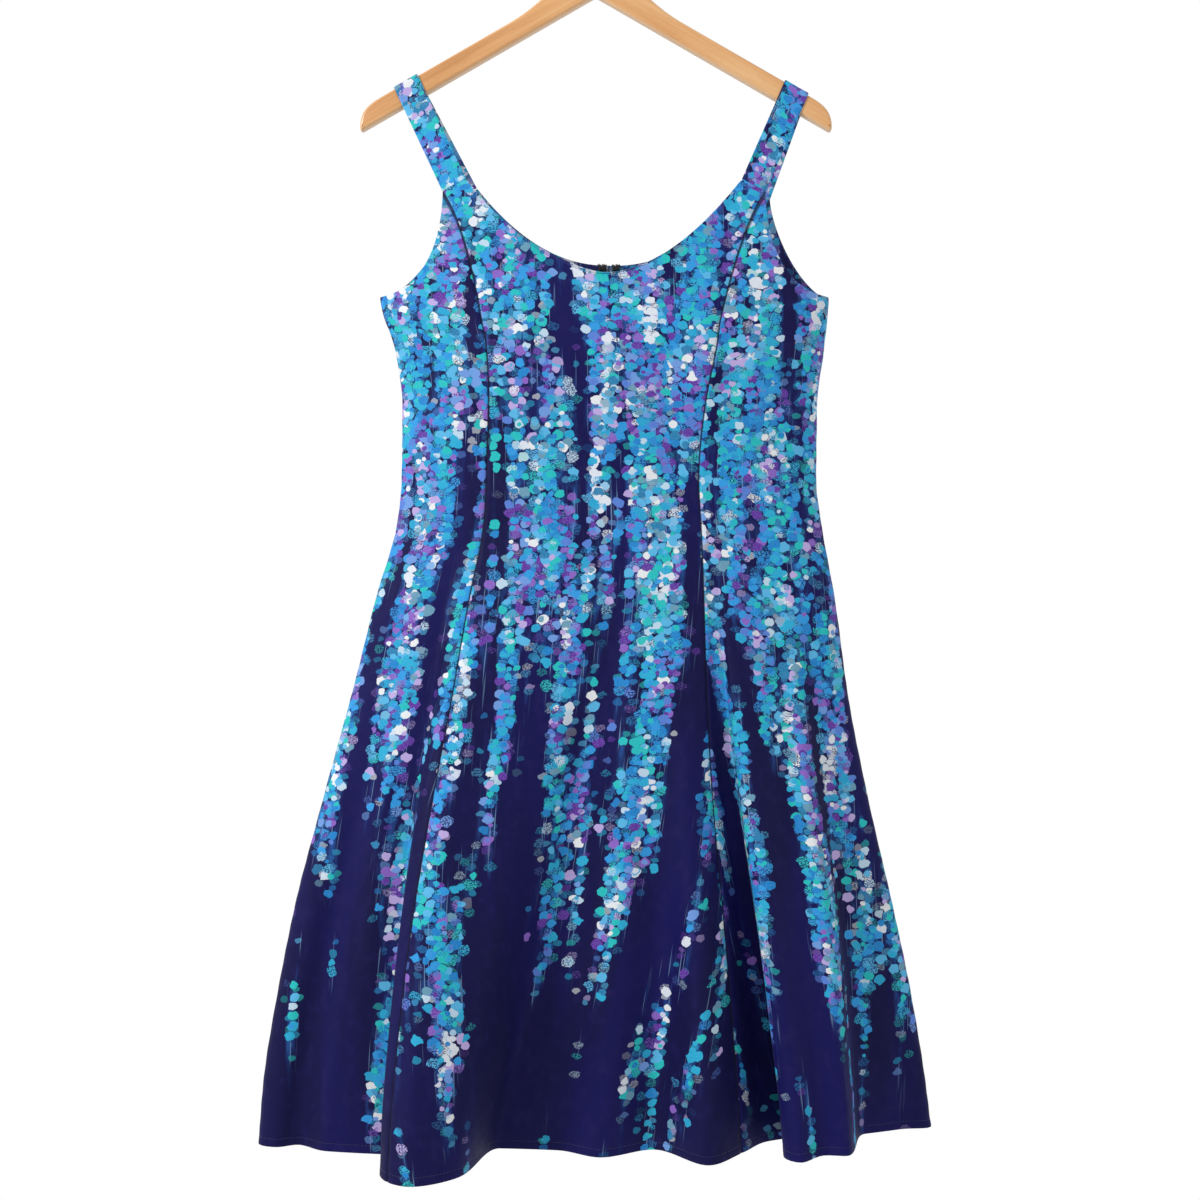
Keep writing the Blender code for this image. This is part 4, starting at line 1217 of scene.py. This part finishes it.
def build_closure():
    y = -float(yoke_point(BACK_SEAM_X, CLOSURE_Z - 4, -1)[1])
    inside = -y - CLOTH - SEAM_GAP - THREAD_WIRE / 2 - 0.4
    for node, x, width, height in (
        ("neck_hook", BACK_SEAM_X - 6.5, 6.4, 4.6),
        ("neck_eye", BACK_SEAM_X + 6.5, 5.6, 4.0),
    ):
        path = []
        for step in range(141):
            angle = math.radians(mix(-50, 230, step / 140))
            across = width / 2 * math.cos(angle)
            path.append(Vector((x + across, CLOSURE_Z + height / 2 * math.sin(angle))))
        made = wire(node + "_thread", path, inside, THREAD_WIRE, 16, BLACK_THREAD, 0.07, 24)
        place(made, node, "black_metal")
        whip_over_edge(node, x, width, inside)


def whip_over_edge(node, x, width, inside):
    """Thick black stitches that sew the hook or the eye down and lap over the back neckline's edge."""
    outside = inside + THREAD_WIRE / 2 + SEAM_GAP + CLOTH + 1.0
    segments = []
    for k in range(WHIPS):
        share = k / (WHIPS - 1) * 2 - 1
        top_x = x + share * (width / 2 + 0.9) + 0.35 * math.sin(5.0 * k + x)
        foot_x = x + share * width * 0.32
        edge = float(neckline(top_x, -1))
        rise = 1.3 + 0.5 * math.sin(2.3 * k + x) - 0.7 * share * share
        knee = Vector((top_x, inside - 0.9, edge + rise * 0.5))
        crown = Vector((top_x, mix(inside, outside, 0.5), edge + rise))
        foot = Vector((foot_x, inside - THREAD_WIRE / 2 - 0.3, edge - 5.0))
        end = Vector((top_x + 0.4, outside, edge - 1.6))
        for a, b in ((foot, knee), (knee, crown), (crown, end)):
            segments.append((a, b, Vector((0.0, -1.0, 0.2))))
    made = join_segments(node + "_stitches", segments, WHIP_THICK, BLACK_THREAD, 8)
    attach(made, BODY)


def dress_cad_nodes():
    """The zip's slider and pull keep their solids, under a black lacquer."""
    for name in ("zip_slider", "zip_pull"):
        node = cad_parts[name]
        node.data.materials.clear()
        node.data.materials.append(BLACK_LACQUER)


def build_stage():
    floor = bpy.data.meshes.new("floor")
    size, low = 1.1, -1.78
    floor.from_pydata(
        [(-size, -size, low), (size, -size, low), (size, size, low), (-size, size, low)],
        [],
        [(0, 1, 2, 3)],
    )
    pale = bpy.data.materials.new("pale_floor")
    pale.use_nodes = True
    shader = shader_of(pale, Base_Color=(0.82, 0.82, 0.82, 1.0), Roughness=0.8)
    g = Graph(pale.node_tree)
    flat_at = g.vector("MULTIPLY", g.add("ShaderNodeTexCoord").outputs["Object"], (1.0, 1.0, 0.0))
    away = g.add("ShaderNodeVectorMath", {0: flat_at}, operation="LENGTH").outputs["Value"]
    g.put(shader.inputs["Alpha"], g.between(away, size * 0.95, size * 0.3))
    floor.materials.append(pale)
    made = bpy.data.objects.new("floor", floor)
    bpy.context.scene.collection.objects.link(made)

    world = bpy.data.worlds.new("studio")
    world.use_nodes = True
    background = world.node_tree.nodes["Background"]
    background.inputs["Color"].default_value = (1.0, 1.0, 1.0, 1.0)
    background.inputs["Strength"].default_value = WORLD
    bpy.context.scene.world = world

    for name, at, power, size in LIGHTS:
        light = bpy.data.lights.new(name, "AREA")
        light.shape = "DISK"
        light.size = size
        light.energy = power
        lamp = bpy.data.objects.new(name, light)
        lamp.location = at
        aim = Vector((0.0, 0.0, -0.7)) - Vector(at)
        lamp.rotation_euler = aim.to_track_quat("-Z", "Y").to_euler()
        bpy.context.scene.collection.objects.link(lamp)


WORLD = 1.0
LIGHTS = (
    ("key", (-2.2, -1.6, 0.7), 84.0, 0.8),
    ("fill", (1.9, -1.9, -0.3), 7.0, 1.6),
)


def build_camera():
    camera = bpy.data.cameras.new("camera")
    camera.sensor_width = 36.0
    camera.sensor_fit = "HORIZONTAL"
    camera.lens = 36.0 * 1.6 / (1200 * 0.000943)
    made = bpy.data.objects.new("camera", camera)
    made.location = (0.0038, -1.6, -0.6837)
    made.rotation_euler = (math.pi / 2, 0.0, 0.0)
    bpy.context.scene.collection.objects.link(made)
    bpy.context.scene.camera = made


build_panels()
build_strap("strap_left", -1)
build_strap("strap_right", 1)
build_hanger()
hook = wire("hanger_hook_wire", hook_path(), 0.0, HOOK_WIRE, 20, STEEL)
place(hook, "hanger_hook", "hook_steel")
build_closure()
dress_cad_nodes()
build_stage()
build_camera()
bpy.context.scene.view_settings.view_transform = "Standard"
